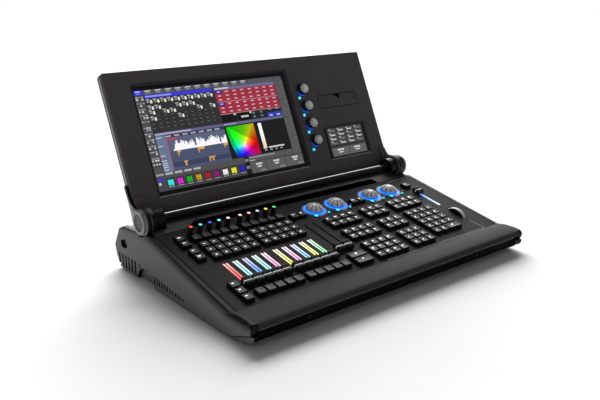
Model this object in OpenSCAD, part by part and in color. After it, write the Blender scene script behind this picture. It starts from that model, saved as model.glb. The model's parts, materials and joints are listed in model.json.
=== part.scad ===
// Lighting control desk: a sloping console with a fold-down monitor, in millimetres.
// The origin is on the table under the middle of the whole desk. +X is the operator's right,
// +Y points away from the operator and +Z is up.

/* [Desk] */
// Width over the two side cheeks
desk_w = 660; // [640:1:700]
// Thickness of a side cheek
cheek_t = 13; // [12:0.5:16]
// Depth of the wrist rest
rest_depth = 58; // [50:1:70]
// Height of the wrist rest above the table
rest_z = 41; // [40:0.5:46]
// Slope of the control panel, in degrees
panel_slope = 11.6; // [10:0.1:13]
// Length of the control panel from the wrist rest to the hinge cover
panel_len = 252.5; // [250:0.5:256]
// Sheet thickness of the panel
panel_t = 2.5; // [2:0.1:3]

/* [Monitor] */
// Width of the monitor
monitor_w = 634; // [620:1:634]
// Height of the monitor along its face
monitor_h = 272.5; // [268:0.5:276]
// Thickness of the monitor
monitor_t = 22; // [20:0.5:24]
// Lean of the open monitor from upright, in degrees
monitor_lean = 24.8; // [15:0.1:30]
// Width of the main screen's picture
screen_w = 344.2; // [340:0.1:346]
// Height of the main screen's picture
screen_h = 193.6; // [190:0.1:196]

/* [Hinge] */
// Distance from the panel's front edge to the hinge axis, along the panel
hinge_u = 289; // [287:0.1:290]
// Height of the hinge axis above the panel's surface
hinge_rise = 9.8; // [9:0.1:11]
// Distance of the monitor's face behind the hinge axis
face_back = 20.75; // [20.5:0.05:23]
// Distance of the monitor's lower edge above the hinge axis, along the face
edge_up = 7.5; // [7:0.1:9]
// Radius of the turning hinge barrel
barrel_r = 24; // [23:0.1:24.5]
// Radius of the hinge disc at the end of the arm
disc_r = 21.5; // [20:0.1:22]
// Radius of the hinge pin
pin_r = 5; // [4:0.1:6]

/* [Controls] */
// Spacing of the playback columns
column_pitch = 19.4; // [19.2:0.1:19.6]
// Spacing of the keys in a block
key_pitch = 19.2; // [18.8:0.1:19.4]
// Side of a key cap
key_side = 17; // [16:0.1:17.4]
// Height of a key cap above the panel
key_rise = 7; // [5:0.1:8]
// Travel of a key
key_travel = 2; // [1.5:0.1:2.5]
// Travel of a playback fader
fader_travel = 60; // [60:1:60]
// Travel of a crossfader
crossfader_travel = 100; // [100:1:100]
// Radius of an attribute encoder knob
encoder_r = 18; // [17:0.1:18.5]
// Radius of the jog wheel
wheel_r = 28; // [27:0.5:30]

/* [Hidden] */
$fn = 48;
eps = 0.1;

// Side geometry. Distances back from the wrist rest's front edge are called y.
half_w = desk_w / 2;
inner_w = half_w - cheek_t;
hinge_y = rest_depth + hinge_u * cos(panel_slope) - hinge_rise * sin(panel_slope);
hinge_z = rest_z + hinge_u * sin(panel_slope) + hinge_rise * cos(panel_slope);
monitor_back_y = face_back + monitor_t;
monitor_top = edge_up + monitor_h;
back_round = 3;
back_inset = 0.6;
desk_d = hinge_y + monitor_back_y * cos(monitor_lean)
    + (monitor_top - back_inset) * sin(monitor_lean);
lip_y = rest_depth + panel_len * cos(panel_slope);
lip_z = rest_z + panel_len * sin(panel_slope);
screen_z = edge_up + 138;

// Rear of the case, in side view: foot, widest point and top corner
rear_foot = [424, 3];
rear_mid = [441, 37];
rear_top = [413, 80];
rear_lean = atan2(rear_mid[0] - rear_top[0], rear_top[1] - rear_mid[1]);
rear_face_len = norm(rear_top - rear_mid);
kick_dir = (rear_mid - rear_foot) / norm(rear_mid - rear_foot);
wall_dir = (rear_top - rear_mid) / rear_face_len;
floor_z = 2.5;
sheet = 1.6;

// Hinge layout across one end, measured inward from the desk's side
disc_t = 6;
barrel_in = half_w - 24;
knuckle_out = barrel_in - 0.4;
knuckle_in = half_w - 45;
knuckle_r = 19.5;
well_r = barrel_r + 1.5;
pin_fit = 0.05;

// Columns of the playback section: x of the first control in each bank of five
rear_banks = [-259.3, -155.4];
front_banks = [-258.2, -154.8];
flash_dx = 2;
bank_size = 5;
playback_row_u = [183.3, 164, 144.8];
playback_encoder_u = 225.5;
playback_encoder_dx = -3;
encoder_key_u = 209.8;
flash_key_u = 22.6;
fader_u = 50;
strip_u = [38, 121];

// Key blocks as [x of the first key, u of the rear row, columns, rows]
program_blocks = [
    [2, 159, 4, 2], [95.6, 159, 3, 2], [171.6, 159, 4, 2],
    [3, 106.9, 4, 2], [97.5, 106.9, 3, 2], [5.1, 55.6, 4, 3],
    [-49.8, 200.2, 2, 1], [104.2, 199.2, 2, 1], [268.8, 208.8, 1, 1],
    [-288.2, 217.1, 1, 2], [-287.6, 170.6, 1, 2], [-283.8, 56.4, 1, 3]];
numeric_blocks = [[173.2, 109.3, 4, 4], [173.2, 32.5, 2, 1], [99.3, 57.1, 3, 3]];
wide_keys = [[221.2, 32.5]];
go_keys_at = [[-36.5, 36.2], [-36.5, 17.2]];
wide_key_w = 2 * key_pitch - 1.6;

// Rotary controls
encoder_x = [9.8, 66, 161, 217.5];
encoder_u = 210;
// Two lit buttons at each encoder, as [x, u, radius, height above the panel]
encoder_buttons = [[-14.2, -23, 4, 2.5], [19.3, -22.2, 2.2, 7]];
encoder_h = 12.8;
encoder_skirt_h = 3.4;
shaft_r = 3;
playback_knob_r = 4.8;
playback_knob_h = 19.5;
screen_encoder_x = 124.5;
screen_encoder_s = [60.2, 22.6, -16.4, -54.3];
screen_button_x = 114;
screen_button_s = [43.3, 4.9, -33.3, -72.2];
screen_knob_r = 11.5;
screen_knob_h = 16;
wheel_x = 279;
wheel_u = 70.5;
wheel_drop = 18;
wheel_w = 10;
axle_r = 3;

// Faders
crossfader_x = [-48, -28];
crossfader_u = 66;
master_x = 278.2;
master_u = 173;
// The master fader's cap and light bar stand to the left of its slot
master_dx = -4;
cap_w = 16.4;
cap_len = 20;
cap_back = 4;
cap_gap = 1.6;
cap_h = 9;
stem_w = 1.2;
stem_len = 6;
slot_w = 1.8;
groove_d = 1.2;
panel_gap = 0.8;
mech_top = -3.2;
mech_d = 9;
board_h = -15.5;

// Places on the monitor's face: x, and s up from the middle of the main screen
screen_x = -91;
screen_recess = [screen_w + 19.3, screen_h + 23.4];
screen_recess_at = [screen_x + 5.2, 1.4];
small_screen = [104.5, 65];
small_screen_at = [215.6, -64.7];
small_recess = small_screen + [17.5, 10];
door_at = [219.5, 28.2];
door_size = [111, 28.7];
door_t = 3;
door_front = 0.4;
door_pin_r = 1;
finger_w = 22;
bay_d = 13;
front_t = 8;
strip_x = [-276, 290];

// Frames: the whole desk, the control panel, the monitor and the rear face
module desk() { translate([0, -desk_d / 2, 0]) children(); }
module on_panel() { desk() translate([0, rest_depth, rest_z]) rotate([panel_slope, 0, 0]) children(); }
module in_monitor() { desk() translate([0, hinge_y, hinge_z]) rotate([-monitor_lean, 0, 0]) children(); }
// On the monitor's face: +Y goes into the monitor, and z counts from the main screen's middle
module on_face() { in_monitor() translate([0, face_back, screen_z]) children(); }
module on_rear() { desk() translate([0, rear_mid[0], rear_mid[1]]) rotate([rear_lean, 0, 0]) children(); }
module along_x(x0, x1) {
    translate([x0, 0, 0]) rotate([90, 0, 90]) linear_extrude(x1 - x0) children();
}
module both_ends() { children(); mirror([1, 0, 0]) children(); }
module hinge_axis(x0, x1, r) { translate([x0, 0, 0]) rotate([0, 90, 0]) cylinder(r = r, h = x1 - x0); }

// A plate with round corners, standing on edge: centred on x and z, from y0 to y1
module face_plate(w, h, y0, y1, r) {
    for (sx = [-1, 1], sz = [-1, 1])
        translate([sx * (w / 2 - r), y0, sz * (h / 2 - r)])
            rotate([-90, 0, 0]) cylinder(r = r, h = y1 - y0);
    translate([-w / 2, y0, -h / 2 + r]) cube([w, y1 - y0, h - 2 * r]);
    translate([-w / 2 + r, y0, -h / 2]) cube([w - 2 * r, y1 - y0, h]);
}
module box_at(x, u, w, l, h0, h1) { translate([x - w / 2, u - l / 2, h0]) cube([w, l, h1 - h0]); }

function columns(banks) = [for (x = banks, i = [0 : bank_size - 1]) x + i * column_pitch];
function block_keys(blocks) = [for (b = blocks, c = [0 : b[2] - 1], r = [0 : b[3] - 1])
    [b[0] + c * key_pitch, b[1] - r * key_pitch]];
rear_columns = columns(rear_banks);
playback_encoder_x = [for (x = rear_columns) x + playback_encoder_dx];
front_columns = columns(front_banks);
program_keys_at = block_keys(program_blocks);
numeric_keys_at = block_keys(numeric_blocks);
playback_keys_at = concat(
    [for (x = rear_columns, u = playback_row_u) [x, u]],
    [for (x = rear_columns) [x, encoder_key_u]],
    [for (x = front_columns) [x + flash_dx, flash_key_u]]);
encoder_buttons_at = [for (x = encoder_x, b = encoder_buttons) [x + b[0], encoder_u + b[1], b[2], b[3]]];
slots = concat(
    [for (x = front_columns) [x, fader_u, fader_travel]],
    [for (x = crossfader_x) [x, crossfader_u, crossfader_travel]],
    [[master_x, master_u - fader_travel, fader_travel]]);

// A key: a skirt that runs in the panel, and a smaller top
module key(x, u, w = key_side, l = key_side) {
    box_at(x, u, w, l, -4 - key_travel, key_rise - 1);
    box_at(x, u, w - 2.4, l - 2.4, key_rise - 1, key_rise);
}
module key_hole(x, u, w = key_side) { box_at(x, u, w + 1.2, key_side + 1.2, -panel_t - 1, 1); }
module keys(list) { for (k = list) key(k[0], k[1]); }
module key_holes(list) { for (k = list) key_hole(k[0], k[1]); }

module fader_slot(s) {
    box_at(s[0], s[1] + s[2] / 2, slot_w, s[2] + stem_len + 3, -panel_t - 1, 1);
}
module wheel_slot() {
    under = wheel_drop - panel_t;
    half = sqrt(wheel_r * wheel_r - under * under);
    box_at(wheel_x, wheel_u, wheel_w + 2, 2 * half + 1.6, -panel_t - 1, 1);
}

// The two light bars beside each fader slot, and the one beside the master fader
module strip_bars(h0, h1) {
    mid = (strip_u[0] + strip_u[1]) / 2;
    for (x = front_columns, side = [-1, 1])
        box_at(x + side * 3.2, mid, 3.6, strip_u[1] - strip_u[0], h0, h1);
    box_at(master_x + master_dx, master_u - 30, 4.4, 60, h0, h1);
}
module glow_ring(h0, h1) {
    for (x = encoder_x)
        translate([x, encoder_u, h0]) difference() {
            cylinder(r = encoder_r + 3.6, h = h1 - h0);
            translate([0, 0, -eps]) cylinder(r = encoder_r + 0.9, h = h1 - h0 + 2 * eps);
        }
}

module control_panel() {
    color("#3a383a") on_panel() difference() {
        translate([-inner_w, 0, -panel_t]) cube([2 * inner_w, panel_len - panel_gap, panel_t]);
        key_holes(playback_keys_at);
        key_holes(program_keys_at);
        key_holes(numeric_keys_at);
        for (k = concat(wide_keys, go_keys_at)) key_hole(k[0], k[1], wide_key_w);
        for (b = encoder_buttons_at)
            translate([b[0], b[1], -panel_t - 1]) cylinder(r = b[2] + 0.5, h = panel_t + 2);
        for (s = slots) fader_slot(s);
        wheel_slot();
        for (x = encoder_x)
            translate([x, encoder_u, -panel_t - 1]) cylinder(r = shaft_r + 2, h = panel_t + 2);
        for (x = playback_encoder_x)
            translate([x, playback_encoder_u, -panel_t - 1]) cylinder(r = shaft_r + 1, h = panel_t + 2);
        strip_bars(-groove_d, 1);
        glow_ring(-groove_d, 1);
    }
}

module light_guides() {
    color("white") on_panel() {
        strip_bars(-groove_d, 0.3);
        glow_ring(-groove_d, 0.6);
    }
}

// Printed circuit board with a switch pad under each group of keys and a bushed
// encoder body under each knob. The jog wheel turns in two bearing ears on it.
module pad(b) {
    w = (b[2] - 1) * key_pitch + key_side;
    l = (b[3] - 1) * key_pitch + key_side;
    box_at(b[0] + w / 2 - key_side / 2, b[1] - l / 2 + key_side / 2, w, l, board_h - eps, -9);
}
module encoder_body(x, u) {
    translate([x, u, 0]) difference() {
        union() {
            translate([-6, -6, board_h - eps]) cube([12, 12, 7]);
            translate([0, 0, board_h]) cylinder(r = shaft_r + 1.6, h = -board_h - panel_t - 1);
        }
        translate([0, 0, board_h + 1]) cylinder(r = shaft_r + pin_fit, h = 20);
    }
}
module control_board() {
    ear_x = wheel_w / 2 + 1;
    color("#16321f") on_panel() difference() {
        union() {
            translate([-inner_w + 8, 6, board_h - 1.6]) cube([2 * inner_w - 16, panel_len - 12, 1.6]);
            for (b = concat(program_blocks, numeric_blocks)) pad(b);
            for (x = rear_banks, u = [playback_row_u[0], encoder_key_u])
                pad([x, u, bank_size, u == encoder_key_u ? 1 : len(playback_row_u)]);
            for (x = front_banks) pad([x + flash_dx, flash_key_u, bank_size, 1]);
            for (k = concat(wide_keys, go_keys_at))
                box_at(k[0], k[1], wide_key_w, key_side, board_h - eps, -9);
            for (b = encoder_buttons_at) box_at(b[0], b[1], 8, 8, board_h - eps, -9);
            for (x = encoder_x) encoder_body(x, encoder_u);
            for (x = playback_encoder_x) encoder_body(x, playback_encoder_u);
            for (side = [-1, 1])
                box_at(wheel_x + side * (ear_x + 1.5), wheel_u, 3, 12, -wheel_drop - 6, -4);
        }
        for (x = encoder_x)
            translate([x, encoder_u, board_h + 1]) cylinder(r = shaft_r + pin_fit, h = 20);
        for (x = playback_encoder_x)
            translate([x, playback_encoder_u, board_h + 1]) cylinder(r = shaft_r + pin_fit, h = 20);
        box_at(wheel_x, wheel_u, wheel_w + 2, 2 * wheel_r + 4, -wheel_r - 20, board_h + eps);
        translate([wheel_x - ear_x - 4, wheel_u, -wheel_drop]) rotate([0, 90, 0])
            cylinder(r = axle_r + pin_fit, h = 2 * ear_x + 8);
    }
}

// Slide potentiometers under the panel, one for each fader
module fader_mechanism(s) {
    l = s[2] + 24;
    mid = s[1] + s[2] / 2;
    difference() {
        box_at(s[0], mid, 9, l, mech_top - mech_d, mech_top);
        box_at(s[0], mid, stem_w + 1.4, s[2] + stem_len + 2, mech_top - 7, mech_top + 1);
    }
}
module fader_mechanisms() { color("silver") on_panel() for (s = slots) fader_mechanism(s); }

// A fader cap with a finger hollow, on its flat stem
module fader_cap(x, u, dx = 0) {
    hollow_r = 18;
    color("#151515") on_panel() {
        difference() {
            box_at(x + dx, u + cap_back, cap_w, cap_len, cap_gap, cap_gap + cap_h);
            translate([x + dx - cap_w, u + cap_back, cap_gap + cap_h + hollow_r - 2])
                rotate([0, 90, 0]) cylinder(r = hollow_r, h = 2 * cap_w);
        }
        box_at(x, u, stem_w, stem_len, mech_top - 6, cap_gap + eps);
    }
}
module playback_keys() { color("#181818") on_panel() keys(playback_keys_at); }
module program_keys() {
    color("#181818") on_panel() {
        keys(program_keys_at);
        for (b = encoder_buttons_at) translate([b[0], b[1], -6]) cylinder(r = b[2], h = 6 + b[3]);
    }
}
module numeric_keys() {
    color("#181818") on_panel() {
        keys(numeric_keys_at);
        for (k = wide_keys) key(k[0], k[1], wide_key_w);
    }
}
module go_keys() { color("#181818") on_panel() for (k = go_keys_at) key(k[0], k[1], wide_key_w); }

module attribute_encoder(i) {
    color("silver") on_panel() translate([encoder_x[i], encoder_u, 0]) {
        translate([0, 0, 1.2]) cylinder(r = encoder_r - 2.5, h = encoder_skirt_h - 1.2);
        translate([0, 0, encoder_skirt_h]) cylinder(r1 = encoder_r, r2 = encoder_r - 2, h = 4.5);
        translate([0, 0, encoder_skirt_h + 4.5]) cylinder(r1 = encoder_r - 2, r2 = encoder_r - 6, h = 3);
        translate([0, 0, encoder_skirt_h + 7.5])
            cylinder(r1 = encoder_r - 6, r2 = encoder_r - 9, h = encoder_h - encoder_skirt_h - 7.5);
        translate([0, 0, board_h + 1.5]) cylinder(r = shaft_r, h = -board_h);
    }
}
module playback_encoder(i) {
    color("#151515") on_panel() translate([playback_encoder_x[i], playback_encoder_u, 0]) {
        translate([0, 0, 1]) cylinder(r = playback_knob_r + 1.6, h = 2.5);
        translate([0, 0, 3]) cylinder(r = playback_knob_r, h = playback_knob_h - 3);
        translate([0, 0, board_h + 1.5]) cylinder(r = shaft_r, h = -board_h);
    }
}
module screen_encoder(i) {
    color("silver") on_face() translate([screen_encoder_x, 0, screen_encoder_s[i]]) rotate([90, 0, 0]) {
        translate([0, 0, 1]) cylinder(r = screen_knob_r, h = 3);
        translate([0, 0, 4]) cylinder(r1 = screen_knob_r - 1, r2 = screen_knob_r - 2.5, h = screen_knob_h - 4);
        translate([0, 0, -front_t + 1]) cylinder(r = shaft_r, h = front_t + 1);
    }
}
module screen_encoder_buttons() {
    color("#40c0e0") on_face() for (s = screen_button_s)
        translate([screen_button_x, 0, s]) rotate([90, 0, 0])
            translate([0, 0, -front_t + 3]) cylinder(r = 3, h = front_t - 1.2);
}

// The jog wheel stands on edge in its slot, with ribs across its rim
module jog_wheel() {
    color("silver") on_panel() translate([wheel_x, wheel_u, -wheel_drop]) {
        hinge_axis(-wheel_w / 2, wheel_w / 2, wheel_r);
        hinge_axis(-wheel_w / 2 - 4, wheel_w / 2 + 4, axle_r);
    }
}

// Side cheeks. Each has a flat top next to the panel, then a chamfer down to its outer face.
flat_w = 9;
chamfer_rear = 15.3;
function inner_top(y) = y < rest_depth ? rest_z : rest_z + (y - rest_depth) * tan(panel_slope);
cheek_break = lip_y - 2;
outer_break = cheek_break + 14;
outer_nose = [78, 32.8];
module cheek_slab(points, x0, x1) { along_x(x0, x1) polygon(points); }
module cheek_part(inner, outer) {
    hull() {
        cheek_slab(inner, inner_w, inner_w + flat_w);
        cheek_slab(outer, half_w - 0.2, half_w);
    }
}
vent_count = 6;
vent_pitch = 12.4;
small_vent_count = 12;
module cheek_cut() { along_x(half_w - 8, half_w + 1) children(); }
module cheek_vents() {
    for (i = [0 : vent_count - 1])
        cheek_cut() translate([359.5 + i * vent_pitch, 5.5]) square([5.4, 25]);
    for (i = [0 : small_vent_count - 1]) {
        h = 13.5 * (1 - i / (small_vent_count + 1)) + 1;
        cheek_cut() translate([289 - i * 8.9, 24 - i * 0.8 - h]) square([4.2, h]);
    }
    // Long round hole, finger arch and slanted slot
    cheek_cut() hull() {
        translate([397.8, 53.5]) circle(7.8);
        translate([407.5, 51.2]) circle(7.8);
    }
    cheek_cut() translate([323, -7.5]) circle(34);
    cheek_cut() translate([345, 26]) rotate(-30) square([3.4, 9], center = true);
}
module cheek_solid() {
    bottom_y = 420;
    chamfer_z = inner_top(cheek_break) - chamfer_rear;
    cheek_part(
        [[1.2, 31.6], [0.3, 34.5], [1.2, 38], [6, 41.9], [20, 43.9], [40, 44], [rest_depth + 4, rest_z],
            [90, 1.5], [72, 1.5], [60, 3.4]],
        [[4, 27], [3, 34.8], [7, 39.6], [30, 37.8], [54, 36], outer_nose, [90, 1.5], [74, 1.5],
            [62, 2.9], [5, 25.4]]);
    cheek_part(
        [[rest_depth, rest_z], [cheek_break, inner_top(cheek_break)], [cheek_break, 1.5], [rest_depth, 1.5]],
        [outer_nose, [outer_break, chamfer_z], [outer_break, 1.5], [74, 1.5]]);
    cheek_part(
        [[cheek_break, inner_top(cheek_break)], [rear_top[0] - 4, rear_top[1] + 4],
            [rear_mid[0] - 2, rear_mid[1]], [bottom_y, 1.5], [cheek_break, 1.5]],
        [[cheek_break, chamfer_z - 2], [outer_break, chamfer_z], [rear_top[0] + 6, rear_top[1] - 2],
            [rear_mid[0], rear_mid[1] + 5], [rear_mid[0] - 5, 21], [bottom_y + 4, 3], [bottom_y, 1.5],
            [cheek_break, 1.5]]);
    // Skid under the front corner
    along_x(inner_w + 0.5, inner_w + flat_w + 0.5)
        polygon([[78, 2.4], [68, 0], [47, 0], [3, 13.8], [0.3, 20.5], [0.3, 23.5], [4, 22.6], [58, 2.6],
            [66, 3.4]]);
}
module cheek() {
    desk() difference() {
        cheek_solid();
        cheek_vents();
        // Well for the hinge, longer towards the rear
        translate([0, hinge_y, hinge_z]) hull() {
            hinge_axis(inner_w - 20, half_w + 1, well_r);
            translate([0, 13, 3]) hinge_axis(inner_w - 20, half_w + 1, well_r - 5.5);
        }
        // Shallow recess at the front end
        along_x(inner_w + flat_w - 0.5, inner_w + flat_w + 1.5) translate([-1, 27]) square([6, 11]);
    }
}
module right_cheek() { color("#696969") cheek(); }
module left_cheek() { color("#696969") mirror([1, 0, 0]) cheek(); }

// Wrist rest: a slightly domed cover with a round nose
rest_t = 6.4;
rest_end = rest_depth - 0.2;
module wrist_rest() {
    color("#454345") desk() along_x(-inner_w, inner_w)
        polygon([[rest_end, rest_z], [48, rest_z + 2], [38, rest_z + 2.9], [26, rest_z + 3],
            [14, rest_z + 2.3], [6, rest_z + 0.9], [2.6, rest_z - 1], [0.7, rest_z - 3.6],
            [0.3, rest_z - 6.2], [1, rest_z - 8.4], [2.8, rest_z - 9.6], [5, rest_z - 9.4],
            [9, rest_z - rest_t], [rest_end, rest_z - rest_t]]);
}

// Folded tray: front flange, sloping toe, floor and side walls
tray_w = inner_w - 0.2;
flange_y = 9;
module tray_outline(inset) {
    polygon([[flange_y + 4 + inset, rest_z - rest_t], [flange_y + 4 + inset, 28.5],
        [flange_y + inset, 28], [flange_y + inset, 12 + inset], [64, floor_z + inset],
        [rear_foot[0] - 2 - inset, floor_z + inset], [rear_foot[0] - 2 - inset, 60],
        [lip_y, inner_top(lip_y) - 26], [rest_depth, rest_z - 8],
        [rest_depth - 6, rest_z - rest_t]]);
}
module base_tray() {
    color("#222222") desk() difference() {
        union() {
            along_x(-tray_w, tray_w) tray_outline(0);
            // Thin folded edge along the bottom of the flange
            along_x(-tray_w, tray_w) translate([flange_y - 2.4, 11]) square([4, 1.6]);
        }
        along_x(-tray_w + sheet, tray_w - sheet) tray_outline(sheet);
        // The tray is open at the top and at the back
        translate([-tray_w + sheet, flange_y + sheet, 33]) cube([2 * tray_w - 2 * sheet, 500, 80]);
        translate([-tray_w + sheet, rear_foot[0] - 20, floor_z + sheet]) cube([2 * tray_w - 2 * sheet, 60, 90]);
        both_ends() translate([0, hinge_y, hinge_z]) hinge_axis(barrel_in - 1, half_w, well_r);
    }
}

// Cover over the hinge and the back of the case, with a cutout behind the encoders
cover_pts = [[lip_y, lip_z], [hinge_y + 2.2, hinge_z - 4.4], [hinge_y + 15.2, hinge_z - 3.4],
    [hinge_y + 22.2, hinge_z - 20.8], rear_top];
cover_in = [rear_top - [2, 3], [hinge_y + 19.2, hinge_z - 23.8], [hinge_y + 12.2, hinge_z - 6.8],
    [hinge_y + 1.2, hinge_z - 7.4], [lip_y, lip_z - 3]];
// Cutout behind the encoders: its ends at the front and at the rear, and its depth
cut_front = [-255.5, 227.4];
cut_rear = [-228, 221];
cut_depth = 15.5;
module rear_housing() {
    color("#3c3a3c") desk() difference() {
        along_x(-inner_w + 0.2, inner_w - 0.2) polygon(concat(cover_pts, cover_in));
        translate([0, lip_y, 0]) linear_extrude(150)
            polygon([[cut_front[0], -1], [cut_front[1], -1], [cut_rear[1], cut_depth],
                [cut_rear[0], cut_depth]]);
        both_ends() translate([0, hinge_y, hinge_z]) hinge_axis(knuckle_in - 0.4, half_w, well_r);
    }
}

// Rear wall in two folds, with cutouts for the connectors
xlr_x = [-205, -165, -125, -85];
port_x = [-35, -8];
usb_x = [25, 48];
jack_x = [85, 110];
inlet_x = -268;
port_z = rear_face_len / 2;
function inward(d) = [-d[1], d[0]];
module rear_panel() {
    fold_in = (inward(kick_dir) + inward(wall_dir)) / (1 + inward(kick_dir) * inward(wall_dir));
    wall_end = rear_mid + wall_dir * (rear_face_len - 3.1);
    color("#262626") difference() {
        desk() along_x(-inner_w + 0.2, inner_w - 0.2)
            polygon([rear_foot, rear_mid, wall_end, wall_end + sheet * inward(wall_dir),
                rear_mid + sheet * fold_in, rear_foot + sheet * inward(kick_dir)]);
        on_rear() {
            for (x = xlr_x) translate([x, -10, port_z]) rotate([-90, 0, 0]) cylinder(r = 12, h = 20);
            for (x = port_x) box_cut(x, 17, 15);
            for (x = usb_x) box_cut(x, 14, 8);
            for (x = jack_x) translate([x, -10, port_z]) rotate([-90, 0, 0]) cylinder(r = 8, h = 20);
            box_cut(inlet_x, 29, 21);
        }
    }
}
module box_cut(x, w, h) { translate([x - w / 2, -10, port_z - h / 2]) cube([w, 20, h]); }

// Rear connectors: round data sockets, network, serial and audio ports and the mains inlet
module port(x, w, h, body_d) {
    difference() {
        translate([x - w / 2 + 0.3, -body_d, port_z - h / 2 + 0.3]) cube([w - 0.6, body_d + 1, h - 0.6]);
        translate([x - w / 2 + 1.5, -2.5, port_z - h / 2 + 1.5]) cube([w - 3, 5, h - 3]);
    }
}
module rear_connectors() {
    color("#1c1c1c") on_rear() {
        for (x = xlr_x) translate([x, 0, port_z]) {
            difference() {
                union() {
                    translate([-13, 0, -15.5]) cube([26, 1.5, 31]);
                    rotate([90, 0, 0]) cylinder(r = 11.6, h = 14);
                }
                rotate([90, 0, 0]) translate([0, 0, -3]) cylinder(r = 9.5, h = 5);
            }
        }
        for (x = port_x) port(x, 17, 15, 14);
        for (x = usb_x) port(x, 14, 8, 12);
        for (x = jack_x) translate([x, 0, port_z]) difference() {
            rotate([90, 0, 0]) translate([0, 0, -2]) cylinder(r = 7.6, h = 14);
            rotate([90, 0, 0]) translate([0, 0, -3]) cylinder(r = 3.2, h = 4.5);
        }
        difference() {
            translate([inlet_x - 14.4, -20, port_z - 10.4]) cube([28.8, 21.5, 20.8]);
            translate([inlet_x - 12, -16, port_z - 8]) cube([24, 20, 16]);
        }
    }
}

module rubber_feet() {
    color("black") desk() for (x = [-250, 250], y = [90, 395])
        translate([x, y, 0]) cylinder(r = 10, h = floor_z);
}

// Screws of the front flange and the tray's floor
module screws() {
    color("#555555") desk() {
        for (x = [-215, 195, 212]) translate([x, flange_y, 20]) rotate([90, 0, 0]) cylinder(r = 2.6, h = 1);
    }
}

module power_supply() {
    color("silver") desk() translate([-260, 330, floor_z + sheet]) cube([110, 60, 38]);
}

// Fixed knuckles with their saddle, bolted to the tray
module hinge_brackets() {
    color("#101010") desk() both_ends() difference() {
        union() {
            translate([0, hinge_y, hinge_z]) hinge_axis(knuckle_in, knuckle_out, knuckle_r);
            translate([knuckle_in, hinge_y - 12, floor_z + sheet])
                cube([knuckle_out - knuckle_in, 24, hinge_z - floor_z - sheet - 5]);
            translate([knuckle_in, hinge_y - 24, 50]) cube([tray_w - sheet - 1 - knuckle_in, 48, 26]);
        }
        translate([0, hinge_y, hinge_z]) hinge_axis(knuckle_in - 1, half_w, pin_r);
        translate([0, hinge_y, hinge_z]) hinge_axis(barrel_in - 0.1, half_w, well_r);
    }
}
module hinge_pins() {
    color("silver") desk() both_ends() translate([0, hinge_y, hinge_z])
        hinge_axis(knuckle_in + 1, half_w - disc_t - 1, pin_r);
}

// Turning arms: a disc and barrel on the axis, an arm up to the monitor's side and a rail on it
rail_y = [face_back + 6.5, face_back + 13.5];
arm_top = 74;
module hinge_arms() {
    color("#8c8c8c") in_monitor() both_ends() {
        difference() {
            union() {
                hull() {
                    hinge_axis(half_w - disc_t, half_w, disc_r);
                    translate([monitor_w / 2, 18, 20]) cube([6, 15.5, 10]);
                }
                along_x(monitor_w / 2, monitor_w / 2 + 6)
                    polygon([[rail_y[1], arm_top], [33.5, 22], [18, 28], [22.5, 37], [26, 49], [27.3, 60],
                        [rail_y[0], arm_top]]);
                hinge_axis(barrel_in, half_w - disc_t, barrel_r);
                translate([monitor_w / 2, rail_y[0], arm_top - 1])
                    cube([1.6, rail_y[1] - rail_y[0], monitor_top - arm_top - 1]);
            }
            hinge_axis(barrel_in - 1, half_w - disc_t, pin_r + pin_fit);
            translate([half_w - 1.5, 0, 0]) rotate([0, 90, 0]) cylinder(r = disc_r - 6, h = 2);
        }
    }
}

// Front shell of the monitor with the screen recess, bores, cover bay and light groove
module monitor_front() {
    color("#38363a") difference() {
        union() {
            on_face() translate([0, 0, edge_up + monitor_h / 2 - screen_z])
                face_plate(monitor_w, monitor_h, 0, front_t, 3);
            // Housings over the hinge ends
            in_monitor() both_ends() along_x(barrel_in - 6, monitor_w / 2 - 0.2)
                polygon([[face_back + 1, 50], [face_back - 3, 48], [face_back - 5, 30], [13, 17],
                    [face_back + 1, edge_up + 8]]);
            // Tray behind the cover
            on_face() translate([door_at[0], 0, door_at[1]])
                face_plate(door_size[0] + 2, door_size[1] + 2, front_t - eps, bay_d + 1.6, 1);
        }
        on_face() {
            translate([screen_recess_at[0], 0, screen_recess_at[1]]) {
                face_plate(screen_recess[0], screen_recess[1], -1, front_t + 1, 2);
            }
            translate([small_screen_at[0], 0, small_screen_at[1]])
                face_plate(small_recess[0], small_recess[1], -1, front_t + 1, 2);
            for (s = screen_encoder_s) translate([screen_encoder_x, -1, s]) rotate([-90, 0, 0])
                cylinder(r = shaft_r + pin_fit, h = front_t + 2);
            for (s = screen_button_s) translate([screen_button_x, -1, s]) rotate([-90, 0, 0])
                cylinder(r = 3.4, h = front_t + 2);
            door_axis(door_size[0] + 7, door_pin_r + pin_fit);
            translate([door_at[0], 0, door_at[1]]) {
                face_plate(door_size[0], door_size[1], -1, door_front + door_t + 0.4, 0.5);
                face_plate(door_size[0] - 5, door_size[1] - 6, 0, bay_d, 1);
            }
            translate([strip_x[0], -1, edge_up - screen_z - 1]) cube([strip_x[1] - strip_x[0], 5, 3.6]);
        }
        in_monitor() both_ends() hinge_axis(barrel_in - 0.4, half_w, barrel_r + 0.3);
    }
}
module monitor_back() {
    back_w = monitor_w - 2 * back_inset;
    back_h = monitor_h - 2 * back_inset;
    color("#0c0c0c") on_face() translate([0, 0, edge_up + monitor_h / 2 - screen_z]) difference() {
        face_plate(back_w, back_h, front_t, monitor_t, back_round);
        face_plate(back_w - 5, back_h - 5, front_t - 1, monitor_t - 2, 3);
        for (i = [-12 : 12]) translate([i * 14 - 2, monitor_t - 5, -60]) cube([4, 10, 40]);
    }
}
module main_display() {
    color("#101418") on_face() {
        translate([screen_recess_at[0], 0, screen_recess_at[1]])
            face_plate(screen_recess[0] - 0.2, screen_recess[1] - 0.2, 2, front_t + 4, 2);
    }
}
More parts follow.
